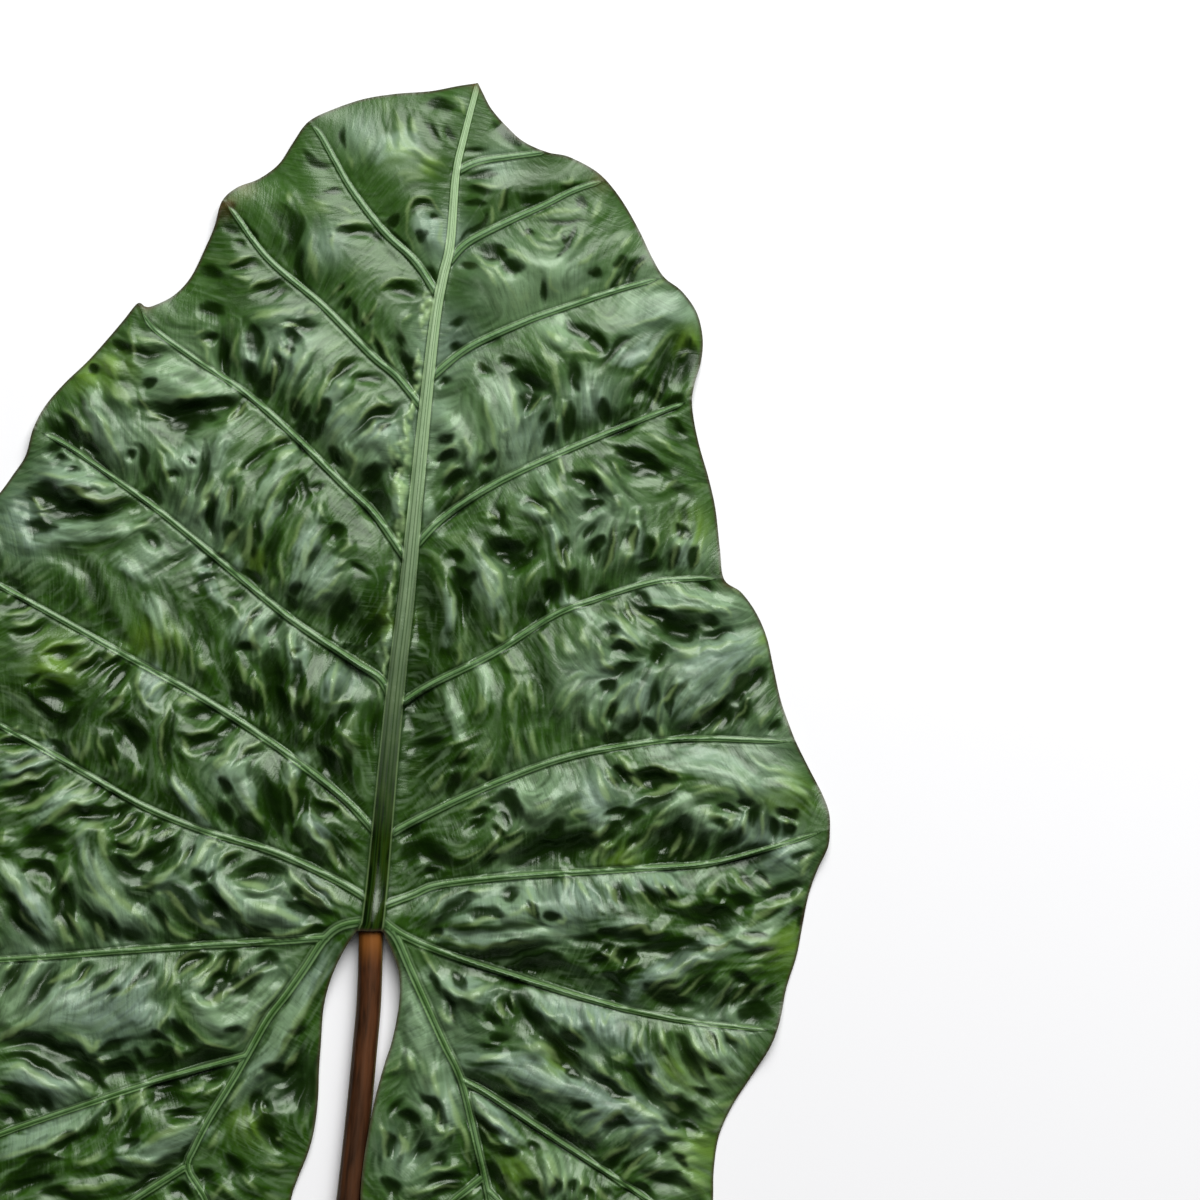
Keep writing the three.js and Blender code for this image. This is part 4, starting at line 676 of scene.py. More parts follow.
def smooth_line(places, step):
    """A smooth line through the places, sampled evenly, with its length."""
    p = on_leaf(places)
    q = np.vstack([p[:1], p, p[-1:]])
    t = np.linspace(0, 1, 24, endpoint=False)[:, None]
    parts = []
    for i in range(len(p) - 1):
        a, b, c, d = q[i:i + 4]
        parts.append(0.5 * (2 * b + (c - a) * t + (2 * a - 5 * b + 4 * c - d) * t**2
                            + (3 * b - a - 3 * c + d) * t**3))
    dense = np.vstack(parts + [p[-1:]])
    along = np.concatenate([[0], np.cumsum(np.hypot(*np.diff(dense, axis=0).T))])
    count = max(2, round(along[-1] / step))
    stops = np.linspace(0, along[-1], count + 1)
    return np.stack([np.interp(stops, along, dense[:, k]) for k in (0, 1)], 1), along[-1]


class Rib:
    """A rib's line, its half widths, its keel below and its raised cord above."""

    def __init__(self, places, widths, keels, fall=KEEL_FALL, cord=RIB_CORD, body=RIB_BODY):
        self.points, self.length = smooth_line(places, 2.5)
        self.width, self.end_width = widths
        self.keel, self.end_keel = keels
        self.fall, self.cord, self.body = fall, cord, body


def lateral(places):
    return Rib(places, (RIB_HALF_WIDTH, RIB_END_HALF_WIDTH), (RIB_KEEL, RIB_END_KEEL))


def costa(places):
    return Rib(places, (COSTA_HALF_WIDTH, COSTA_END_HALF_WIDTH), (COSTA_KEEL, RIB_END_KEEL))


midrib = Rib(MIDRIB_PX, (MIDRIB_HALF_WIDTH, MIDRIB_END_HALF_WIDTH), (MIDRIB_KEEL, MIDRIB_END_KEEL),
             MIDRIB_KEEL_FALL, MIDRIB_CORD, MIDRIB_BODY)
costae = [costa(RIGHT_COSTA_PX), costa(LEFT_COSTA_PX)]
laterals = [lateral(rib) for rib, _ in RIGHT_RIBS_PX + LEFT_RIBS_PX]
laterals += [lateral(rib) for rib in RIGHT_INNER_RIBS_PX + LEFT_INNER_RIBS_PX]
ribs = [midrib, *costae, *laterals]
stalk_line, stalk_length = smooth_line(STALK_PX, 2.0)


def side_margin(tip, bands, sinus):
    """One side's margin, from the tip past the ribs' ends to the sinus."""
    places = list(tip)
    for rib, margin in bands:
        places += [rib[-1], *margin]
    return smooth_line(places + list(sinus), 1.0)[0]


right_margin = side_margin(RIGHT_TIP_MARGIN_PX, RIGHT_RIBS_PX, RIGHT_SINUS_MARGIN_PX)
left_margin = side_margin(LEFT_TIP_MARGIN_PX, LEFT_RIBS_PX, LEFT_SINUS_MARGIN_PX)
butt = [right_margin[-1] + (left_margin[-1] - right_margin[-1]) * share for share in (0.33, 0.67)]
outline = np.vstack([right_margin, butt, left_margin[:0:-1]])


def bell(distance, reach):
    return np.exp(-((distance / reach) ** 2))


def mix(a, b, share):
    return a + (b - a) * share


def smoothstep(low, high, v):
    """0 up to low and 1 from high on, or the other way where high is the smaller."""
    t = np.clip((v - low) / (high - low), 0, 1)
    return t * t * (3 - 2 * t)


class Grid:
    """A square grid over the leaf, which holds what each of its places is near to."""

    def __init__(self, step):
        self.step = step
        self.low = outline.min(0) - GRID_MARGIN
        columns, rows = np.ceil((outline.max(0) + GRID_MARGIN - self.low) / step).astype(int)
        self.shape = (rows, columns)
        self.x, self.y = np.meshgrid(self.low[0] + step * np.arange(columns),
                                     self.low[1] + step * np.arange(rows))
        self.at_x, self.at_y = self.x, self.y

    def full(self, value=0.0):
        return np.full(self.shape, value, float)

    def window(self, a, b, reach):
        """The part of the grid within reach of the piece of line from a to b."""
        low = ((np.minimum(a, b) - reach - self.low) / self.step).astype(int)
        high = ((np.maximum(a, b) + reach - self.low) / self.step).astype(int) + 2
        low, high = np.maximum(low, 0), np.maximum(high, 0)
        return slice(low[1], high[1]), slice(low[0], high[0])

    def steps(self, points, reach):
        """For each piece of a line: its window, the distances to it, the place along, and both directions."""
        for i in range(len(points) - 1):
            a, b = points[i], points[i + 1]
            w = self.window(a, b, reach)
            x, y = self.at_x[w] - a[0], self.at_y[w] - a[1]
            dx, dy = b - a
            t = np.clip((x * dx + y * dy) / (dx * dx + dy * dy + 1e-12), 0, 1)
            gx, gy = x - t * dx, y - t * dy
            yield w, np.hypot(gx, gy), i + t, gx, gy, dx, dy

    def nearest(self, points, reach):
        """Distance, place along, side and height in the picture of the nearest place of a line."""
        distance, place, side, over = self.full(FAR), self.full(), self.full(1), self.full()
        for w, d, at, gx, gy, dx, dy in self.steps(points, reach):
            closer = d < distance[w]
            distance[w] = np.where(closer, d, distance[w])
            place[w] = np.where(closer, at, place[w])
            side[w] = np.where(closer, np.sign(dx * gy - dy * gx), side[w])
            over[w] = np.where(closer, gx * picture_up[0] + gy * picture_up[1], over[w])
        return distance, place, side, over

    def inside(self):
        """Whether each place is within the outline."""
        result = np.zeros(self.shape, bool)
        a, b = outline, np.roll(outline, -1, 0)
        for r in range(self.shape[0]):
            y = self.y[r, 0] + 1e-7
            cross = (a[:, 1] > y) != (b[:, 1] > y)
            if cross.any():
                p, q = a[cross], b[cross]
                xs = np.sort(p[:, 0] + (y - p[:, 1]) / (q[:, 1] - p[:, 1]) * (q[:, 0] - p[:, 0]))
                result[r] = np.searchsorted(xs, self.x[r]) % 2 == 1
        return result

    def sample(self, field, x, y):
        """The field at any x and y: between its places, or at the nearest for a field of vectors."""
        u = np.clip((x - self.low[0]) / self.step, 0, self.shape[1] - 1.001)
        v = np.clip((y - self.low[1]) / self.step, 0, self.shape[0] - 1.001)
        if field.ndim == 3:
            return field[(v + 0.5).astype(int), (u + 0.5).astype(int)]
        i, j = u.astype(int), v.astype(int)
        u, v = u - i, v - j
        return ((field[j, i] * (1 - u) + field[j, i + 1] * u) * (1 - v)
                + (field[j + 1, i] * (1 - u) + field[j + 1, i + 1] * u) * v)


def padded(field, before, after, axis):
    """The field with its first and last row or column repeated."""
    return np.concatenate([np.repeat(field.take([0], axis), before, axis), field,
                           np.repeat(field.take([-1], axis), after, axis)], axis)


def blurred(field, reach):
    """The field smoothed over about reach cells, by three running means each way."""
    span = 2 * reach + 1
    for _ in range(3):
        for axis in (0, 1):
            total = np.cumsum(padded(field, reach + 1, reach, axis), axis)
            n = field.shape[axis]
            field = (total.take(range(span, span + n), axis) - total.take(range(n), axis)) / span
    return field


def lowest(field, reach):
    """The lowest value within reach cells of each place."""
    for axis in (0, 1):
        wide, n = padded(field, reach, reach, axis), field.shape[axis]
        field = np.minimum.reduce([wide.take(range(k, k + n), axis) for k in range(2 * reach + 1)])
    return field


def softened(field):
    """The field with each cell evened out with the four beside it."""
    wide = np.pad(field, 1, "edge")
    return (field + wide[:-2, 1:-1] + wide[2:, 1:-1] + wide[1:-1, :-2] + wide[1:-1, 2:]) / 5


def even(field):
    """The field brought to a mean of 0 and a spread of 1."""
    return (field - field.mean()) / field.std()


def cloud(grid, rng, reach):
    """Even noise with spots about reach cells wide."""
    return even(blurred(rng.standard_normal(grid.shape), reach))


def wander(x, y):
    """A slow wave over the leaf, which keeps the guessed folds from being alike."""
    return np.sin(x / 17 + 1.3 * np.sin(y / 23)) + np.cos(y / 19 + 1.7 * np.sin(x / 29))


def read_lines(text):
    """Each line of a list: its half width in millimetres and its places in pixels."""
    for entry in text.replace("\n", " ").split(";"):
        v = [float(n) for n in entry.split()]
        if v:
            yield v[0] * scale, list(zip(v[1::2], v[2::2]))


def fold_lean(i, share):
    """How far the folds beside a rib lean towards its end. Only the side ribs' folds do."""
    return mix(FOLD_LEAN_START, FOLD_LEAN_END, share**2) if i > len(costae) else 0


def fold_direction():
    """Which way the creases run: along the folds that are read, and else out from the ribs.

    It is given as the cosine and sine of the doubled angle, because a crease has no front end."""
    g = Grid(FLOW_STEP)
    double_x, double_y = g.full(), g.full()
    for i, rib in enumerate(ribs):
        d, place, side, _ = g.nearest(rib.points, RIB_FLOW_REACH)
        away_y, away_x = np.gradient(d, g.step)
        size = np.hypot(away_x, away_y) + 1e-6
        away_x, away_y = away_x / size, away_y / size
        turn = fold_lean(i, place / (len(rib.points) - 1))
        fx, fy = away_x + turn * side * away_y, away_y - turn * side * away_x
        weight = 60 / (d + 4) ** 3 * (d < 100)
        if rib is midrib:
            weight = 4 * weight * bell(d, 16)
        double_x += weight * (fx * fx - fy * fy)
        double_y += weight * 2 * fx * fy
    for text in (HOLLOWS, RIDGES):
        for half, places in read_lines(text):
            points, _ = smooth_line(places, 3)
            for w, d, _, _, _, dx, dy in g.steps(points, 9):
                weight = (0.6 + half) * bell(d, 4.5)
                size = dx * dx + dy * dy
                double_x[w] += weight * (dx * dx - dy * dy) / size
                double_y[w] += weight * 2 * dx * dy / size
    angle = 0.5 * np.arctan2(blurred(double_y, 1), blurred(double_x, 1))
    return g, np.cos(2 * angle), np.sin(2 * angle)


def combed(grid, noise, flow, reach):
    """Noise drawn out along the flow, reach millimetres each way."""
    total, weight_sum = noise.copy(), 1.0
    count = int(reach / grid.step)
    rows, columns = np.indices(grid.shape)
    for sense in (1, -1):
        u, v = columns.astype(float), rows.astype(float)
        dx, dy = flow[0] * sense, flow[1] * sense
        for k in range(count):
            u += dx
            v += dy
            i = np.clip(np.rint(u), 0, grid.shape[1] - 1).astype(np.int32)
            j = np.clip(np.rint(v), 0, grid.shape[0] - 1).astype(np.int32)
            nx, ny = flow[0][j, i], flow[1][j, i]
            turn = np.where(nx * dx + ny * dy < 0, -1, 1)
            dx, dy = nx * turn, ny * turn
            weight = 0.5 + 0.5 * math.cos(math.pi * (k + 1) / (count + 1))
            total += weight * noise[j, i]
            weight_sum += weight
    return total / weight_sum


def drawn(grid, text, value, shift=0.0, end_share=0.03, step=1.2):
    """The highest value that any line of the list gives each place.

    The value depends on the distance, the line's half width and its taper, which is 1 in its middle."""
    field = grid.full()
    for half, places in read_lines(text):
        points = smooth_line(places, step)[0] - shift * half * towards_light
        last = len(points) - 1
        for w, d, at, _, _, _, _ in grid.steps(points, 3 * half + 5):
            taper = np.sin(math.pi * np.clip(at / last, end_share, 1 - end_share)) ** 0.75
            field[w] = np.maximum(field[w], value(d, half, taper))
    return field


def flank_reach(half, share_and_more):
    share, more = share_and_more
    return share * half + more


# How strongly a hollow is darkened with painted shade
def hollow_shade_mark(d, half, taper):
    return taper * smoothstep(*HOLLOW_FADE, d / (half * taper + THINNEST))


def hollow_depth(d, half, taper):
    depth = min(HOLLOW_DEPTH + HOLLOW_GAIN * half, HOLLOW_MOST)
    return taper * depth * smoothstep(flank_reach(half * taper + THINNEST, HOLLOW_REACH), 0, d)


# How strongly a crest is lightened with painted highlight
def ridge_highlight_mark(d, half, taper):
    return taper * smoothstep(*RIDGE_FADE, d / (half * taper + THINNEST))


def ridge_height(d, half, taper):
    return taper * (RIDGE_HEIGHT + RIDGE_GAIN * half) * smoothstep(flank_reach(half, RIDGE_REACH), 0, d)


def slope_mark(d, half, taper):
    return taper * smoothstep(*SLOPE_FADE, d / half)


def mound_height(d, half, taper):
    reach = flank_reach(half, MOUND_REACH)
    return taper * MOUND_SLOPE * reach * smoothstep(reach, 0, d)


# How strongly the strip beside the midrib is lightened with painted highlight
def lit_strip_mark(d, half, taper):
    return smoothstep(*LIT_STRIP_FADE, d / (half * taper + THINNEST))


def read_folds(grid, rng):
    """The folds that are read from the photograph, their edges a little ragged."""
    ragged = [RAGGED * cloud(grid, rng, 3) for _ in range(2)]
    grid.at_x, grid.at_y = grid.x + ragged[0], grid.y + ragged[1]
    broad = {"end_share": 0.1, "step": 2.4}
    folds = SimpleNamespace(
        hollow_shade=drawn(grid, HOLLOWS, hollow_shade_mark),
        ridge_highlight=drawn(grid, RIDGES, ridge_highlight_mark),
        shaded=drawn(grid, SHADED, slope_mark, **broad),
        lit=drawn(grid, LIT, slope_mark, **broad),
        lit_strip=drawn(grid, LIT_STRIP, lit_strip_mark),
    )
    raised = drawn(grid, RIDGES, ridge_height, RIDGE_SHIFT)
    sunk = drawn(grid, HOLLOWS, hollow_depth, HOLLOW_SHIFT)
    mounds = drawn(grid, LIT, mound_height, MOUND_SHIFT, **broad)
    troughs = drawn(grid, SHADED, mound_height, MOUND_SHIFT, **broad)
    folds.height = raised - sunk + (mounds - troughs)
    grid.at_x, grid.at_y = grid.x, grid.y
    return folds


def margin_distance(grid):
    """Each place's distance to the outline, which is fine near it and from a coarser grid further in."""
    loop = np.vstack([outline, outline[:1]])
    coarse = Grid(FLOW_STEP)
    far = coarse.sample(coarse.nearest(loop, MARGIN_REACH)[0], grid.x, grid.y)
    near = np.minimum(grid.nearest(loop, MARGIN_FINE_REACH)[0], far)
    return mix(near, far, smoothstep(*FINE_TO_COARSE, far))


def rib_map(grid):
    """The ribs' cords, keels and bands, the guessed herringbone between them, and the creases' direction.

    A band counts half widths across a rib, and is minus on its lower side in the picture, or for the midrib
    on its left."""
    flow_grid, double_x, double_y = fold_direction()
    double_x, double_y = (flow_grid.sample(v, grid.x, grid.y) for v in (double_x, double_y))
    m = SimpleNamespace(to_rib=grid.full(FAR), cord=grid.full(), keel=grid.full(), vein=grid.full(),
                        rib_band=grid.full(BAND), main_band=grid.full(BAND), waves=grid.full())
    first, second, along, pattern = grid.full(FAR), grid.full(FAR), grid.full(), grid.full()
    total = grid.full(1e-9)
    for i, rib in enumerate(ribs):
        d, place, side, over = grid.nearest(rib.points, RIB_REACH)
        share = place / (len(rib.points) - 1)
        width = mix(rib.width, rib.end_width, share)
        round_top = np.maximum(0, 1 - (d / width) ** 2)
        m.to_rib = np.minimum(m.to_rib, np.maximum(0, d - width))
        m.cord = np.maximum(m.cord, rib.cord * np.minimum(1, 0.4 * width) * round_top)
        m.keel = np.maximum(m.keel, mix(rib.keel, rib.end_keel, share**rib.fall) * np.sqrt(round_top))

        # The painted body of the rib, along which its own creases run
        body = rib.body * width
        ends = 1 if rib is midrib else smoothstep(1.0, 0.93, share)
        here = ends * smoothstep(1.2, 0.85, d / body)
        within = here > np.maximum(m.vein, 0.4)
        tangent = np.diff(rib.points, axis=0)
        tangent /= np.hypot(*tangent.T)[:, None]
        at = np.minimum(place.astype(int), len(tangent) - 1)
        tx, ty = tangent[at, 0], tangent[at, 1]
        double_x = np.where(within, tx * tx - ty * ty, double_x)
        double_y = np.where(within, 2 * tx * ty, double_y)
        m.vein = np.maximum(m.vein, here)
        out = np.minimum(d / (body * np.maximum(ends, 1e-3)), BAND)
        if rib is midrib:
            m.main_band = np.where(side > 0, -out, out)
        else:
            m.rib_band = np.where(out < np.abs(m.rib_band), np.where(over < 0, -out, out), m.rib_band)

        # The fine lines' place along the nearest rib, and the waves of the herringbone
        fold_along = share * rib.length - fold_lean(i, share) * d
        closer = d < first
        second = np.where(closer, first, np.minimum(second, d))
        first = np.where(closer, d, first)
        along = np.where(closer, fold_along, along)
        pattern = np.where(closer, i + 0.5 * (side > 0), pattern)
        if i > len(costae):
            phase = 2 * math.pi * fold_along / FOLD_PITCH
            phase += 1.9 * (i - len(costae) - 1) + np.where(side > 0, 0, 2.4)
            phase += 0.9 * wander(grid.x, grid.y)
            weight = 1 / (d + 1) ** 4
            m.waves += weight * np.tanh(1.6 * np.sin(phase))
            total += weight
    m.waves /= total
    m.rib_band = np.where(np.abs(m.main_band) < 1.05, BAND, m.rib_band)
    m.grain = np.stack([along / GRAIN_WIDTH, first / GRAIN_LENGTH, GRAIN_APART * pattern], 2)
    m.calm = smoothstep(1.0, 5.0, second - first) * (m.vein < 0.05)
    angle = 0.5 * np.arctan2(double_y, double_x)
    m.flow = np.cos(angle), np.sin(angle)
    return m


def noise_map(grid, rng, flow):
    """Fine creases and small folds, drawn out along the creases' direction, and slow noise."""
    return SimpleNamespace(
        hair=even(softened(combed(grid, rng.standard_normal(grid.shape), flow, 6.0))),
        crease=even(combed(grid, cloud(grid, rng, 1), flow, 8.0)),
        small=even(combed(grid, cloud(grid, rng, 2), flow, 9.0)),
        swell=cloud(grid, rng, 9),
        patch=cloud(grid, rng, 18),
    )


def spots(grid, places):
    """Soft round spots at places of the photograph."""
    mark = grid.full()
    x, y = to_photo(grid.x, grid.y)
    for px, py, radius in places:
        mark = np.maximum(mark, bell(np.hypot(x - px, y - py), radius))
    return mark


def blade_map():
    """Every height and marking of the blade, on one square grid."""
    grid = Grid(MAP_STEP)
    rng = np.random.default_rng(SEED)
    edge = margin_distance(grid)
    m = rib_map(grid)
    n = noise_map(grid, rng, m.flow)
    folds = read_folds(grid, rng)
    crumple = cloud(grid, rng, 1)
    # The pale strip beside the midrib, broken up by its crumples; its paleness is painted highlight
    lit_strip = folds.lit_strip * smoothstep(-1.2, 0.6, crumple)

    # Guessed folds, in full beyond the picture's edge and faint in the empty places within it
    px, py = to_photo(grid.x, grid.y)
    beyond = np.maximum(smoothstep(*UNSEEN_LEFT_PX, px), smoothstep(*UNSEEN_BELOW_PX, py))
    seen = 1 - beyond
    inland = 1 - np.exp(-edge / FOLD_EDGE_FADE)
    free = (1 - bell(m.to_rib, FOLD_RIB_FADE)) * (1 - np.exp(-edge / 4))
    empty = 1 - np.clip(2.2 * blurred(np.maximum(folds.hollow_shade, folds.ridge_highlight), 4), 0, 1)
    calmer = 1 - 0.6 * np.clip(folds.shaded + folds.lit, 0, 1) * seen
    loose = free * calmer * mix(0.1 + 0.65 * empty, 1, beyond)
    own_hollow = loose * smoothstep(0.9, 2.0, -n.small + 0.35 * n.swell)
    own_ridge = loose * smoothstep(0.9, 2.1, n.small + 0.35 * n.swell)
    far_hollow = free * inland * smoothstep(-0.35, -0.9, m.waves - 0.2 * n.small)
    far_ridge = free * inland * smoothstep(0.6, 1.0, m.waves + 0.15 * n.small)
    # The guessed hollows take painted shade and the guessed ridges painted highlight
    guessed_hollow = np.maximum(OWN_HOLLOW * own_hollow, FAR_HOLLOW * beyond * far_hollow)
    guessed_ridge = np.maximum(OWN_RIDGE * own_ridge, FAR_RIDGE * beyond * far_ridge)
    # Where the hollows are darkened with painted shade, read from the lines or guessed
    hollow_shade = np.maximum(folds.hollow_shade * seen, guessed_hollow)
    # Where the crests are lightened with painted highlight, read from the lines or guessed
    ridge_highlight = np.maximum(folds.ridge_highlight * seen, guessed_ridge)

    # The upper face's height
    over_stalk = bell(grid.nearest(stalk_line, STALK_REACH)[0], STALK_LIFT_REACH)
    near_edge = 1 - np.exp(-edge / 3.0)
    flat = 1 - 0.85 * smoothstep(0.3, 1.0, m.vein)
    tip_relief = mix(1.0, TIP_RELIEF, smoothstep(TIP_RELIEF_FROM, TIP_RELIEF_TO, grid.y))
    relief = near_edge * flat * tip_relief
    top = (
        EDGE_LEVEL
        + CROWN * (1 - np.exp(-edge / CROWN_REACH))
        + STALK_LIFT * over_stalk
        + RIB_END_LIFT * (1 - over_stalk) * bell(m.to_rib, RIB_END_REACH) * np.exp(-edge / RIB_END_DEPTH)
        + PUFF * (1 - bell(m.to_rib, PUFF_REACH)) * inland
        - SETTLE * inland * (1 - over_stalk)
        + relief * (folds.height * seen + GUESSED_FOLD * m.waves * beyond * inland)
        + relief * (SMALL_FOLD * loose * n.small + CREASE * n.crease + SWELL * n.swell * free)
        + HAIR * near_edge * n.hair
        + lit_strip * (LIT_STRIP_HEIGHT + LIT_STRIP_CRUMPLE * crumple)
        + m.cord
        - CHANNEL_DEPTH * inland * bell(np.abs(m.rib_band) - CHANNEL_PLACE, CHANNEL_WIDTH)
    )
    room = HIGHEST - EASE_FROM
    eased = EASE_FROM + room * np.tanh((top - EASE_FROM) / room)

    def frayed(mark):
        """The mark with its soft places broken up by the creases."""
        return np.clip(mark + mark * (1 - mark) * (0.9 * n.hair + 0.6 * n.crease), 0, 1)

    worn = 0.8 + 0.3 * n.crease
    return grid, {
        "signed": np.where(grid.inside(), edge, -edge),
        "top": np.maximum(np.where(top > EASE_FROM, eased, top), LAMINA),
        "keel": m.keel,
        "vein": m.vein,
        "lit_strip": lit_strip,
        "shaded": frayed(folds.shaded * seen),
        "lit": frayed(folds.lit * seen),
        "hollow_shade": frayed(hollow_shade),
        "ridge_highlight": frayed(ridge_highlight),
        "rib_band": m.rib_band,
        "rib_out": np.abs(m.rib_band),
        "main_band": m.main_band,
        "main_out": np.abs(m.main_band),
        "margin": smoothstep(RIM_START, RIM_FULL, edge),
        "grain": m.grain,
        "calm": m.calm,
        "hair": smoothstep(-2.2, 2.2, n.hair * tip_relief),
        "crease": smoothstep(-2.2, 2.2, n.crease * tip_relief),
        "patch": smoothstep(-1.8, 1.8, n.patch),
        "tipward": smoothstep(-60, 320, grid.y),
        "painted_shade": spots(grid, PAINTED_SHADE_PX),
        "painted_sheen": spots(grid, PAINTED_SHEEN_PX),
        "yellow": np.clip(spots(grid, YELLOW_PX) * worn, 0, 1),
        "brown": np.clip(spots(grid, BROWN_PX) * worn, 0, 1),
    }


def snapped(x, y):
    """The places of the outline that are nearest to the given ones."""
    a, b = outline, np.roll(outline, -1, 0)
    p = np.stack([x, y], 1)[:, None]
    v = (b - a)[None]
    t = np.clip(((p - a) * v).sum(2) / (v * v).sum(2), 0, 1)
    q = a + t[..., None] * v
    best = ((p - q) ** 2).sum(2).argmin(1)
    return q[np.arange(len(x)), best].T


def sides_of(triangles):
    """Each triangle's three sides, in their own sense."""
    return np.concatenate([triangles[:, [0, 1]], triangles[:, [1, 2]], triangles[:, [2, 0]]])


def sheet(grid, signed, step):
    """Corners and triangles of an even net inside the outline, its rim moved onto the outline."""
    row = step * math.sqrt(0.75)
    columns, rows = (np.ceil((outline.max(0) - outline.min(0) + 8 * step) / (step, row))).astype(int)
    r, c = np.meshgrid(np.arange(rows), np.arange(columns), indexing="ij")
    x = outline[:, 0].min() - 4 * step + step * (c + 0.5 * (r % 2))
    y = outline[:, 1].min() - 4 * step + row * r
    number = r * columns + c
    a, b = number[:-1, :-1], number[:-1, 1:]
    c, d = number[1:, :-1], number[1:, 1:]
    odd = (np.arange(rows - 1) % 2 == 1)[:, None, None]
    first = np.where(odd, np.stack([a, b, d], 2), np.stack([a, b, c], 2))
    second = np.where(odd, np.stack([a, d, c], 2), np.stack([b, d, c], 2))
    triangles = np.concatenate([first.reshape(-1, 3), second.reshape(-1, 3)])
    keep = grid.sample(signed, x, y).ravel() > -0.45 * step
    used, triangles = np.unique(triangles[keep[triangles].all(1)], return_inverse=True)
    triangles = triangles.reshape(-1, 3)
    x, y = x.ravel()[used], y.ravel()[used]
    code, counts = np.unique(np.sort(sides_of(triangles), 1) @ (len(x), 1), return_counts=True)
    rim_edges = np.stack([code[counts == 1] // len(x), code[counts == 1] % len(x)], 1)
    rim = np.unique(rim_edges)
    for i in range(0, len(rim), 400):
        k = rim[i:i + 400]
        x[k], y[k] = snapped(x[k], y[k])
    a, b, c = (np.stack([x, y], 1)[triangles[:, k]] for k in range(3))
    spread = (b - a)[:, 0] * (c - a)[:, 1] - (b - a)[:, 1] * (c - a)[:, 0]
    return x, y, triangles[np.abs(spread) > 1e-4], rim_edges


def corner_normals(points, triangles):
    a, b, c = (points[triangles[:, k]] for k in range(3))
    face = np.cross(b - a, c - a)
    normals = np.zeros_like(points)
    for k in range(3):
        for axis in range(3):
            normals[:, axis] += np.bincount(triangles[:, k], face[:, axis], len(points))
    return normals / np.maximum(np.linalg.norm(normals, axis=1, keepdims=True), 1e-12)


def add_piece(name, points, triangles, material, marks, normals=None, node="blade"):
    """A mesh piece, made in metres, with its markings as attributes of its corners."""
    used, faces = np.unique(triangles, return_inverse=True)
    faces = faces.reshape(-1, 3)
    mesh = bpy.data.meshes.new(name)
    mesh.vertices.add(len(used))
    mesh.vertices.foreach_set("co", (points[used] / 1000).astype(np.float32).ravel())
    mesh.loops.add(faces.size)
    mesh.loops.foreach_set("vertex_index", faces.ravel().astype(np.int32))
    mesh.polygons.add(len(faces))
    mesh.polygons.foreach_set("loop_start", np.arange(0, faces.size, 3, dtype=np.int32))
    mesh.update(calc_edges=True)
    mesh.polygons.foreach_set("use_smooth", np.ones(len(faces), bool))
    for key, values in marks.items():
        vector = values.ndim == 2
        made = mesh.attributes.new(key, "FLOAT_VECTOR" if vector else "FLOAT", "POINT")
        made.data.foreach_set("vector" if vector else "value", values[used].astype(np.float32).ravel())
    mesh.validate()
    if normals is not None:
        mesh.normals_split_custom_set_from_vertices([Vector(n) for n in normals[used]])
    mesh.materials.append(material)
    piece = bpy.data.objects.new(name, mesh)
    bpy.context.scene.collection.objects.link(piece)
    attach(piece, "root")
    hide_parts(node)
    return piece


def srgb(*screen):
    """A colour given by its 0 to 255 screen values, as a linear colour."""
    return tuple(v / 12.92 if v <= 0.04045 else ((v + 0.055) / 1.055) ** 2.4
                 for v in (s / 255 for s in screen)) + (1,)


class Nodes:
    """Short ways to add and join a material's nodes."""

    def __init__(self, name):
        self.material = bpy.data.materials.new(name)
        self.material.use_nodes = True
        self.tree = self.material.node_tree
        self.shader = self.tree.nodes["Principled BSDF"]

    def put(self, value, socket):
        if isinstance(value, bpy.types.NodeSocket):
            self.tree.links.new(value, socket)
        else:
            socket.default_value = value

    def add(self, kind, **inputs):
        node = self.tree.nodes.new(kind)
        for key, value in inputs.items():
            self.put(value, node.inputs[key])
        return node

    def mark(self, name, output="Fac"):
        """A marking of the piece's corners."""
        node = self.add("ShaderNodeAttribute")
        node.attribute_name = name
        return node.outputs[output]

    def math(self, operation, a, b):
        node = self.add("ShaderNodeMath")
        node.operation = operation
        self.put(a, node.inputs[0])
        self.put(b, node.inputs[1])
        return node.outputs[0]

    def line(self, value, place, half, strength):
        """A soft line where the value is near a place."""
        gap = self.math("ABSOLUTE", self.math("SUBTRACT", value, place), 0)
        return self.span(gap, half, 0, 0, strength)

    def share(self, name, strength):
        return self.math("MULTIPLY", self.mark(name), strength)

    def blend(self, share, a, b):
        node = self.tree.nodes.new("ShaderNodeMix")
        node.data_type = "RGBA"
        self.put(share, node.inputs["Factor"])
        self.put(a, node.inputs[6])
        self.put(b, node.inputs[7])
        return node.outputs[2]

    def layers(self, colour, *over):
        """The colour with further ones over it, each by its own share."""
        for share, upper in over:
            colour = self.blend(share, colour, upper)
        return colour

    def noise(self, vector, size, detail=3.0, rough=0.55):
        node = self.add("ShaderNodeTexNoise", Scale=size, Detail=detail, Roughness=rough)
        self.put(vector, node.inputs["Vector"])
        return node.outputs["Fac"]

    def span(self, value, low, high, to_low=0.0, to_high=1.0):
        """The value brought from one range to another, and kept in it."""
        node = self.add("ShaderNodeMapRange")
        self.put(value, node.inputs["Value"])
        for key, number in (("From Min", low), ("From Max", high), ("To Min", to_low), ("To Max", to_high)):
            node.inputs[key].default_value = number
        return node.outputs[0]

    def complete(self, colour, rough, height, strength, distance):
        """The material with its colour, its roughness and a bump of the height."""
        self.put(colour, self.shader.inputs["Base Color"])
        self.put(rough, self.shader.inputs["Roughness"])
        bump = self.add("ShaderNodeBump", Strength=strength, Distance=distance, Height=height)
        self.put(bump.outputs["Normal"], self.shader.inputs["Normal"])
        return self.material


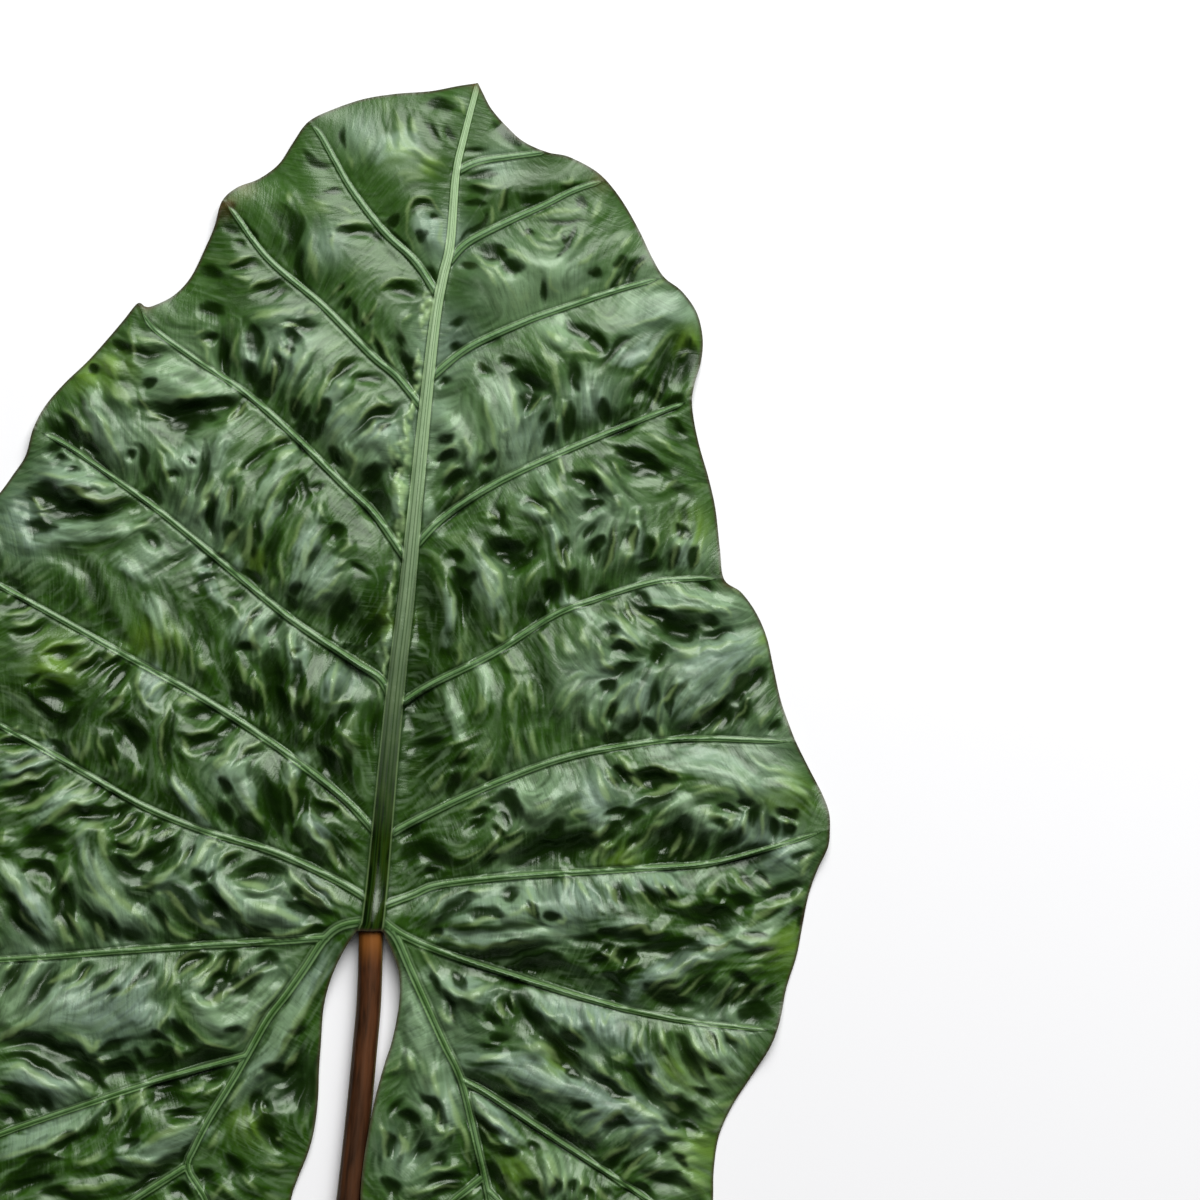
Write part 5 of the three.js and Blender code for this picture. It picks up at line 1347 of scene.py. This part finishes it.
def rib_colour(n, colour):
    """The ribs over the leaf's colour: pale twin lines, a groove between them darkened with painted shade,
    and painted shade in the channels beside.
    """
    band, width = n.mark("rib_band"), n.mark("rib_out")
    near = n.span(width, 2.4, 2.2)
    cord = n.blend(n.mark("tipward"), srgb(58, 90, 40), srgb(76, 112, 66))
    cord = n.blend(n.span(n.mark("hair"), 0.3, 0.9, 0, 0.4), cord, srgb(112, 142, 100))
    lit_flank = n.math("MULTIPLY", near, n.line(band, 1.4, 0.45, 0.4))
    groove = n.math("MULTIPLY", near, n.line(band, -0.18, 0.3, 0.9))
    return n.layers(
        colour,
        # Painted shade in the channels beside the rib
        (n.span(width, 2.3, 1.3, 0, 0.75), srgb(20, 40, 12)),
        (lit_flank, srgb(116, 144, 100)),
        (n.span(width, 1.15, 0.95), cord),
        (n.line(width, 0.75, 0.3, 0.55), srgb(124, 154, 104)),
        # Painted shade in the groove, on its lower side in the picture
        (groove, srgb(24, 48, 14)),
    )


def midrib_colour(n, colour):
    """The midrib over the leaf's colour: a wide band with fine lines along it and thin pale borders, with
    painted shade beside it.
    """
    band, width = n.mark("main_band"), n.mark("main_out")
    paler = n.span(n.mark("tipward"), 0.15, 1.0)
    flesh = n.blend(paler, srgb(6, 20, 0), srgb(154, 184, 138))
    pale = n.blend(paler, srgb(44, 64, 10), srgb(170, 194, 154))
    flesh = n.blend(n.span(n.mark("hair"), 0.3, 0.9, 0, 0.5), flesh, pale)
    for place, strength in ((-0.5, 0.7), (0.12, 0.75), (0.52, 0.6)):
        flesh = n.blend(n.line(band, place, 0.12, strength), flesh, srgb(34, 60, 14))
    for place, strength in ((-0.25, 0.6), (0.32, 0.5)):
        flesh = n.blend(n.line(band, place, 0.14, strength), flesh, pale)
    return n.layers(
        colour,
        # Painted shade beside the midrib
        (n.span(width, 1.5, 1.1, 0, 0.7), srgb(26, 48, 16)),
        (n.span(width, 1.1, 1.0), flesh),
        (n.line(width, 0.98, 0.12, 0.7), n.blend(0.5, pale, srgb(138, 166, 112))),
    )


def leaf_material():
    """Deep green with pale and dark places, most of them painted sheen, highlight and shade on its folds,
    creases and ribs, a strip of painted highlight beside the midrib, and its brown rim.
    """
    n = Nodes("leaf upper face")
    place = n.add("ShaderNodeTexCoord").outputs["Object"]
    grain = n.noise(place, 1500.0, 2.0)
    mottle = n.noise(place, 220.0, 4.0, 0.6)
    lines = n.noise(n.mark("grain", "Vector"), 1.0, 3.0, 0.6)
    calm, hair, crease = n.mark("calm"), n.mark("hair"), n.mark("crease")
    # The grey-green of the painted sheen, over the sheen spots and over the slopes that face the light
    pale = n.blend(n.mark("patch"), srgb(122, 150, 114), srgb(124, 146, 130))
    colour = n.layers(
        # Greyer towards the tip: a painted sheen that grows towards the tip
        n.blend(n.mark("tipward"), srgb(40, 76, 6), srgb(50, 84, 28)),
        (n.share("patch", 0.55), srgb(32, 62, 2)),
        # Painted shade over the broad deep green places
        (n.share("painted_shade", 0.85), srgb(26, 54, 0)),
        # Painted sheen on the broad glossy places
        (n.share("painted_sheen", 0.75), pale),
        (n.share("lit", 0.95), pale),
        (n.share("shaded", 0.85), srgb(18, 42, 0)),
        # The fine creases and streaks: painted highlight where they rise and painted shade where they sink
        (n.span(crease, 0.5, 1.0, 0, 0.4), srgb(84, 110, 70)),
        (n.span(crease, 0.5, 0.0, 0, 0.6), srgb(20, 42, 6)),
        (n.span(hair, 0.55, 0.95, 0, 0.35), srgb(112, 136, 102)),
        (n.span(hair, 0.45, 0.05, 0, 0.35), srgb(20, 38, 8)),
        (n.span(mottle, 0.5, 0.75, 0, 0.2), srgb(92, 116, 84)),
        # The fine lines out from the ribs: painted highlight on their raised parts and painted shade on their
        # low parts
        (n.math("MULTIPLY", calm, n.span(lines, 0.52, 0.72, 0, 0.3)), srgb(98, 124, 84)),
        (n.math("MULTIPLY", calm, n.span(lines, 0.48, 0.3, 0, 0.3)), srgb(18, 38, 6)),
        (n.share("yellow", 0.6), srgb(100, 134, 40)),
        # Painted shade in the hollows of the folds
        (n.share("hollow_shade", 0.95), srgb(12, 32, 0)),
        # Painted highlight on the crests of the folds
        (n.share("ridge_highlight", 0.4), srgb(134, 160, 100)),
    )
    colour = n.layers(
        midrib_colour(n, rib_colour(n, colour)),
        # Painted highlight on the crumpled strip beside the midrib
        (n.share("lit_strip", 0.75), srgb(146, 174, 120)),
        (n.share("margin", 0.75), srgb(58, 44, 36)),
        (n.share("brown", 0.45), srgb(104, 84, 46)),
    )
    dark = n.math("MAXIMUM", n.mark("hollow_shade"), n.mark("shaded"))
    rough = n.span(crease, 0.0, 1.0, 0.36, 0.26)
    for change in (n.share("painted_shade", -0.06), n.span(n.mark("main_out"), 1.1, 1.0, 0, -0.1),
                   n.math("MULTIPLY", dark, -0.06)):
        rough = n.math("ADD", rough, change)
    n.shader.inputs["IOR"].default_value = 1.42
    n.shader.inputs["Specular Tint"].default_value = (0.9, 1.0, 0.86, 1)
    height = n.math("ADD", n.math("MULTIPLY", grain, 0.2), n.math("MULTIPLY", mottle, 0.7))
    height = n.math("ADD", height, n.math("MULTIPLY", n.math("MULTIPLY", calm, lines), 0.8))
    return n.complete(colour, rough, height, 0.35, 0.0006)


def underside_material():
    """Paler and duller green, with lighter veins."""
    n = Nodes("leaf under face")
    place = n.add("ShaderNodeTexCoord").outputs["Object"]
    mottle = n.noise(place, 160.0, 4.0, 0.6)
    colour = n.layers(
        n.blend(n.mark("patch"), srgb(92, 122, 74), srgb(112, 138, 92)),
        (n.span(mottle, 0.35, 0.7, 0, 0.5), srgb(78, 108, 62)),
        (n.mark("vein"), srgb(138, 156, 104)),
    )
    return n.complete(colour, n.span(mottle, 0.3, 0.7, 0.5, 0.64), mottle, 0.4, 0.0006)


UPPER_MARKS = (
    "grain", "calm", "hollow_shade", "ridge_highlight", "rib_band", "rib_out", "main_band", "main_out", "lit_strip", "margin",
    "hair", "crease", "patch", "tipward", "yellow", "brown", "painted_shade", "painted_sheen", "shaded", "lit",
)


def upper_face(grid, f):
    """The upper face and the turned-down margin, in five pieces with shared normals."""
    x, y, triangles, rim_edges = sheet(grid, f["signed"], UPPER_STEP)
    top = np.stack([x, y, grid.sample(f["top"], x, y)], 1)
    normals = corner_normals(top, triangles)
    rim = np.unique(rim_edges)
    below = np.full(len(top), -1)
    below[rim] = len(top) + np.arange(len(rim))
    lip = top[rim].copy()
    lip[:, 2] = np.maximum(lip[:, 2] - LAMINA, 0)
    directed = sides_of(triangles)
    code = np.sort(directed, 1) @ (len(top), 1)
    i, j = directed[np.isin(code, np.sort(rim_edges, 1) @ (len(top), 1))].T
    wall = np.concatenate([np.stack([j, i, below[i]], 1), np.stack([j, below[i], below[j]], 1)])
    points = np.vstack([top, lip])
    normals = np.vstack([normals, corner_normals(points, wall)[len(top):]])
    marks = {key: grid.sample(f[key], x, y) for key in UPPER_MARKS}
    marks = {key: np.concatenate([values, values[rim]]) for key, values in marks.items()}
    triangles = np.concatenate([triangles, wall])
    centre = points[triangles].mean(1)
    material = leaf_material()
    for side, right, parts in (("left", False, ("lobe", "middle", "tip")), ("right", True, ("lobe", "tip"))):
        here = (centre[:, 0] > 0) == right
        cuts = np.quantile(centre[here, 1], np.linspace(0, 1, len(parts) + 1)[1:-1])
        band = np.searchsorted(cuts, centre[:, 1])
        for k, part in enumerate(parts):
            add_piece(f"blade_{side}_{part}", points, triangles[here & (band == k)], material, marks, normals)


def lower_face(grid, f):
    """The lower face, below the lowest of the upper face around it, with the ribs' keels."""
    x, y, triangles, _ = sheet(grid, f["signed"], LOWER_STEP)
    level = grid.sample(lowest(f["top"], 4), x, y) - LAMINA - grid.sample(f["keel"], x, y)
    low = np.stack([x, y, np.maximum(0, level)], 1)
    marks = {key: grid.sample(f[key], x, y) for key in ("vein", "patch")}
    add_piece("blade_underside", low, triangles[:, ::-1], underside_material(), marks)


def stalk_material():
    """Streaked brown, darker towards the foot, paler at the throat, on the flanks and at the cut."""
    n = Nodes("stalk")
    grain = n.mark("grain", "Vector")
    streak = n.noise(grain, 1.0, 4.0, 0.6)
    patch = n.noise(grain, 0.35, 2.0)
    colour = n.layers(
        n.blend(n.span(streak, 0.35, 0.68), srgb(34, 14, 2), srgb(76, 38, 12)),
        (n.share("foot", 0.75), srgb(24, 6, 0)),
        (n.span(patch, 0.5, 0.75, 0, 0.6), srgb(96, 56, 30)),
        (n.mark("throat"), srgb(124, 74, 26)),
        (n.share("flank", 0.5), srgb(108, 104, 62)),
        (n.mark("cut"), srgb(168, 158, 108)),
    )
    n.shader.inputs["Specular Tint"].default_value = (1.0, 0.72, 0.5, 1)
    return n.complete(colour, n.span(streak, 0.3, 0.7, 0.5, 0.66), streak, 0.35, 0.0005)


def stalk_piece():
    """The round ribbed stalk along its line, its lowest side on the floor, closed at both ends."""
    t = np.linspace(STALK_START / stalk_length, 1, STALK_RINGS + 1)
    at = t * (len(stalk_line) - 1)
    i = np.minimum(at.astype(int), len(stalk_line) - 2)
    part = (at - i)[:, None]
    centre = stalk_line[i] * (1 - part) + stalk_line[i + 1] * part
    ahead = np.gradient(centre, axis=0)
    ahead /= np.linalg.norm(ahead, axis=1, keepdims=True)
    radius = mix(STALK_RADIUS_TOP, STALK_RADIUS_FOOT, t)[:, None]
    turn = 2 * np.pi * np.arange(STALK_SIDES) / STALK_SIDES
    ripple = 1 - sum(depth * (1 + np.cos(count * turn + start)) for depth, count, start in STALK_RIPPLES)
    off = np.sin(turn)[None] * radius * ripple
    middle_level = radius * STALK_MIDDLE
    z = np.maximum(0, middle_level - np.cos(turn)[None] * radius * ripple)
    points = np.stack([centre[:, :1] - ahead[:, 1:] * off, centre[:, 1:] + ahead[:, :1] * off, z], 2)
    points = points.reshape(-1, 3)
    r, s = np.meshgrid(np.arange(STALK_RINGS), np.arange(STALK_SIDES), indexing="ij")
    a, b = r * STALK_SIDES + s, r * STALK_SIDES + (s + 1) % STALK_SIDES
    faces = [np.stack([a, b, a + STALK_SIDES], 2).reshape(-1, 3),
             np.stack([b, b + STALK_SIDES, a + STALK_SIDES], 2).reshape(-1, 3)]
    side = np.arange(STALK_SIDES)
    for k, (ring, order) in enumerate(((0, (0, 2, 1)), (STALK_RINGS, (0, 1, 2)))):
        this, following = (ring * STALK_SIDES + s % STALK_SIDES for s in (side, side + 1))
        faces.append(np.stack([np.full(STALK_SIDES, len(points) + k), this, following], 1)[:, order])
    points = np.vstack([points, *(np.append(centre[k], middle_level[k, 0]) for k in (0, STALK_RINGS))])
    along = np.repeat(t * stalk_length, STALK_SIDES)
    around = np.tile(turn, STALK_RINGS + 1)
    across = STREAKS_AROUND * np.cos(around), STREAKS_AROUND * np.sin(around)
    grain = np.stack([along / STREAK_LENGTH, *across], 1)
    flank = smoothstep(0.86, 1.0, np.abs(np.sin(around))) * (np.cos(around) < 0.4)
    marks = {
        "throat": np.append(smoothstep(*THROAT_FADE, along), (0, 0)),
        "foot": np.append(smoothstep(*FOOT_FADE, along), (1, 1)),
        "flank": np.append(flank, (0, 0)),
        "cut": np.append(np.zeros_like(along), (0, 1)),
        "grain": np.vstack([grain, np.zeros((2, 3))]),
    }
    faces = np.concatenate(faces)
    add_piece("stalk", points, faces, stalk_material(), marks, node="petiole")


blade = blade_map()
upper_face(*blade)
lower_face(*blade)
stalk_piece()

# The photograph looks straight down, with the leaf's tip leaning to the right.
centre = on_leaf([(FRAME_PX / 2, FRAME_PX / 2)])[0]
distance = FRAME_PX * scale * LENS / SENSOR
camera_data = bpy.data.cameras.new("camera")
camera_data.lens, camera_data.sensor_width = LENS, SENSOR
camera = bpy.data.objects.new("camera", camera_data)
camera.location = (centre[0] / 1000, centre[1] / 1000, (distance + MARGIN_HEIGHT) / 1000)
camera.rotation_euler = (0, 0, math.atan2(lean[0], lean[1]))
bpy.context.scene.collection.objects.link(camera)
bpy.context.scene.camera = camera

floor_mesh = bpy.data.meshes.new("floor")
floor_corners = ((-1, -1), (1, -1), (1, 1), (-1, 1))
floor_mesh.from_pydata([(FLOOR_HALF * x, FLOOR_HALF * y, FLOOR_LEVEL) for x, y in floor_corners], [],
                       [(0, 1, 2, 3)])
floor_nodes = Nodes("pale surface")
floor_nodes.shader.inputs["Base Color"].default_value = (0.86, 0.86, 0.87, 1)
floor_nodes.shader.inputs["Roughness"].default_value = 0.9
floor_mesh.materials.append(floor_nodes.material)
floor = bpy.data.objects.new("floor", floor_mesh)
bpy.context.scene.collection.objects.link(floor)


def soft_light(name, ahead, right, height, size, power):
    """A square soft light, placed from the picture's centre along its up and right, in metres."""
    data = bpy.data.lights.new(name, "AREA")
    data.shape, data.size, data.energy = "SQUARE", size, power
    light = bpy.data.objects.new(name, data)
    here = centre / 1000 + ahead * picture_up + right * picture_right
    light.location = (here[0], here[1], height)
    aim = Vector((centre[0] / 1000, centre[1] / 1000, 0)) - light.location
    light.rotation_euler = aim.to_track_quat("-Z", "Y").to_euler()
    bpy.context.scene.collection.objects.link(light)


soft_light("window", WINDOW_AHEAD, WINDOW_RIGHT, height=2.3, size=2.6, power=204)
soft_light("overhead", ahead=0.75, right=0.1, height=2.6, size=1.2, power=11)
world = bpy.data.worlds.new("soft white room")
world.use_nodes = True
background = world.node_tree.nodes["Background"]
background.inputs["Color"].default_value = (1, 1, 1, 1)
background.inputs["Strength"].default_value = 0.03
bpy.context.scene.world = world
bpy.context.scene.view_settings.view_transform = "Standard"
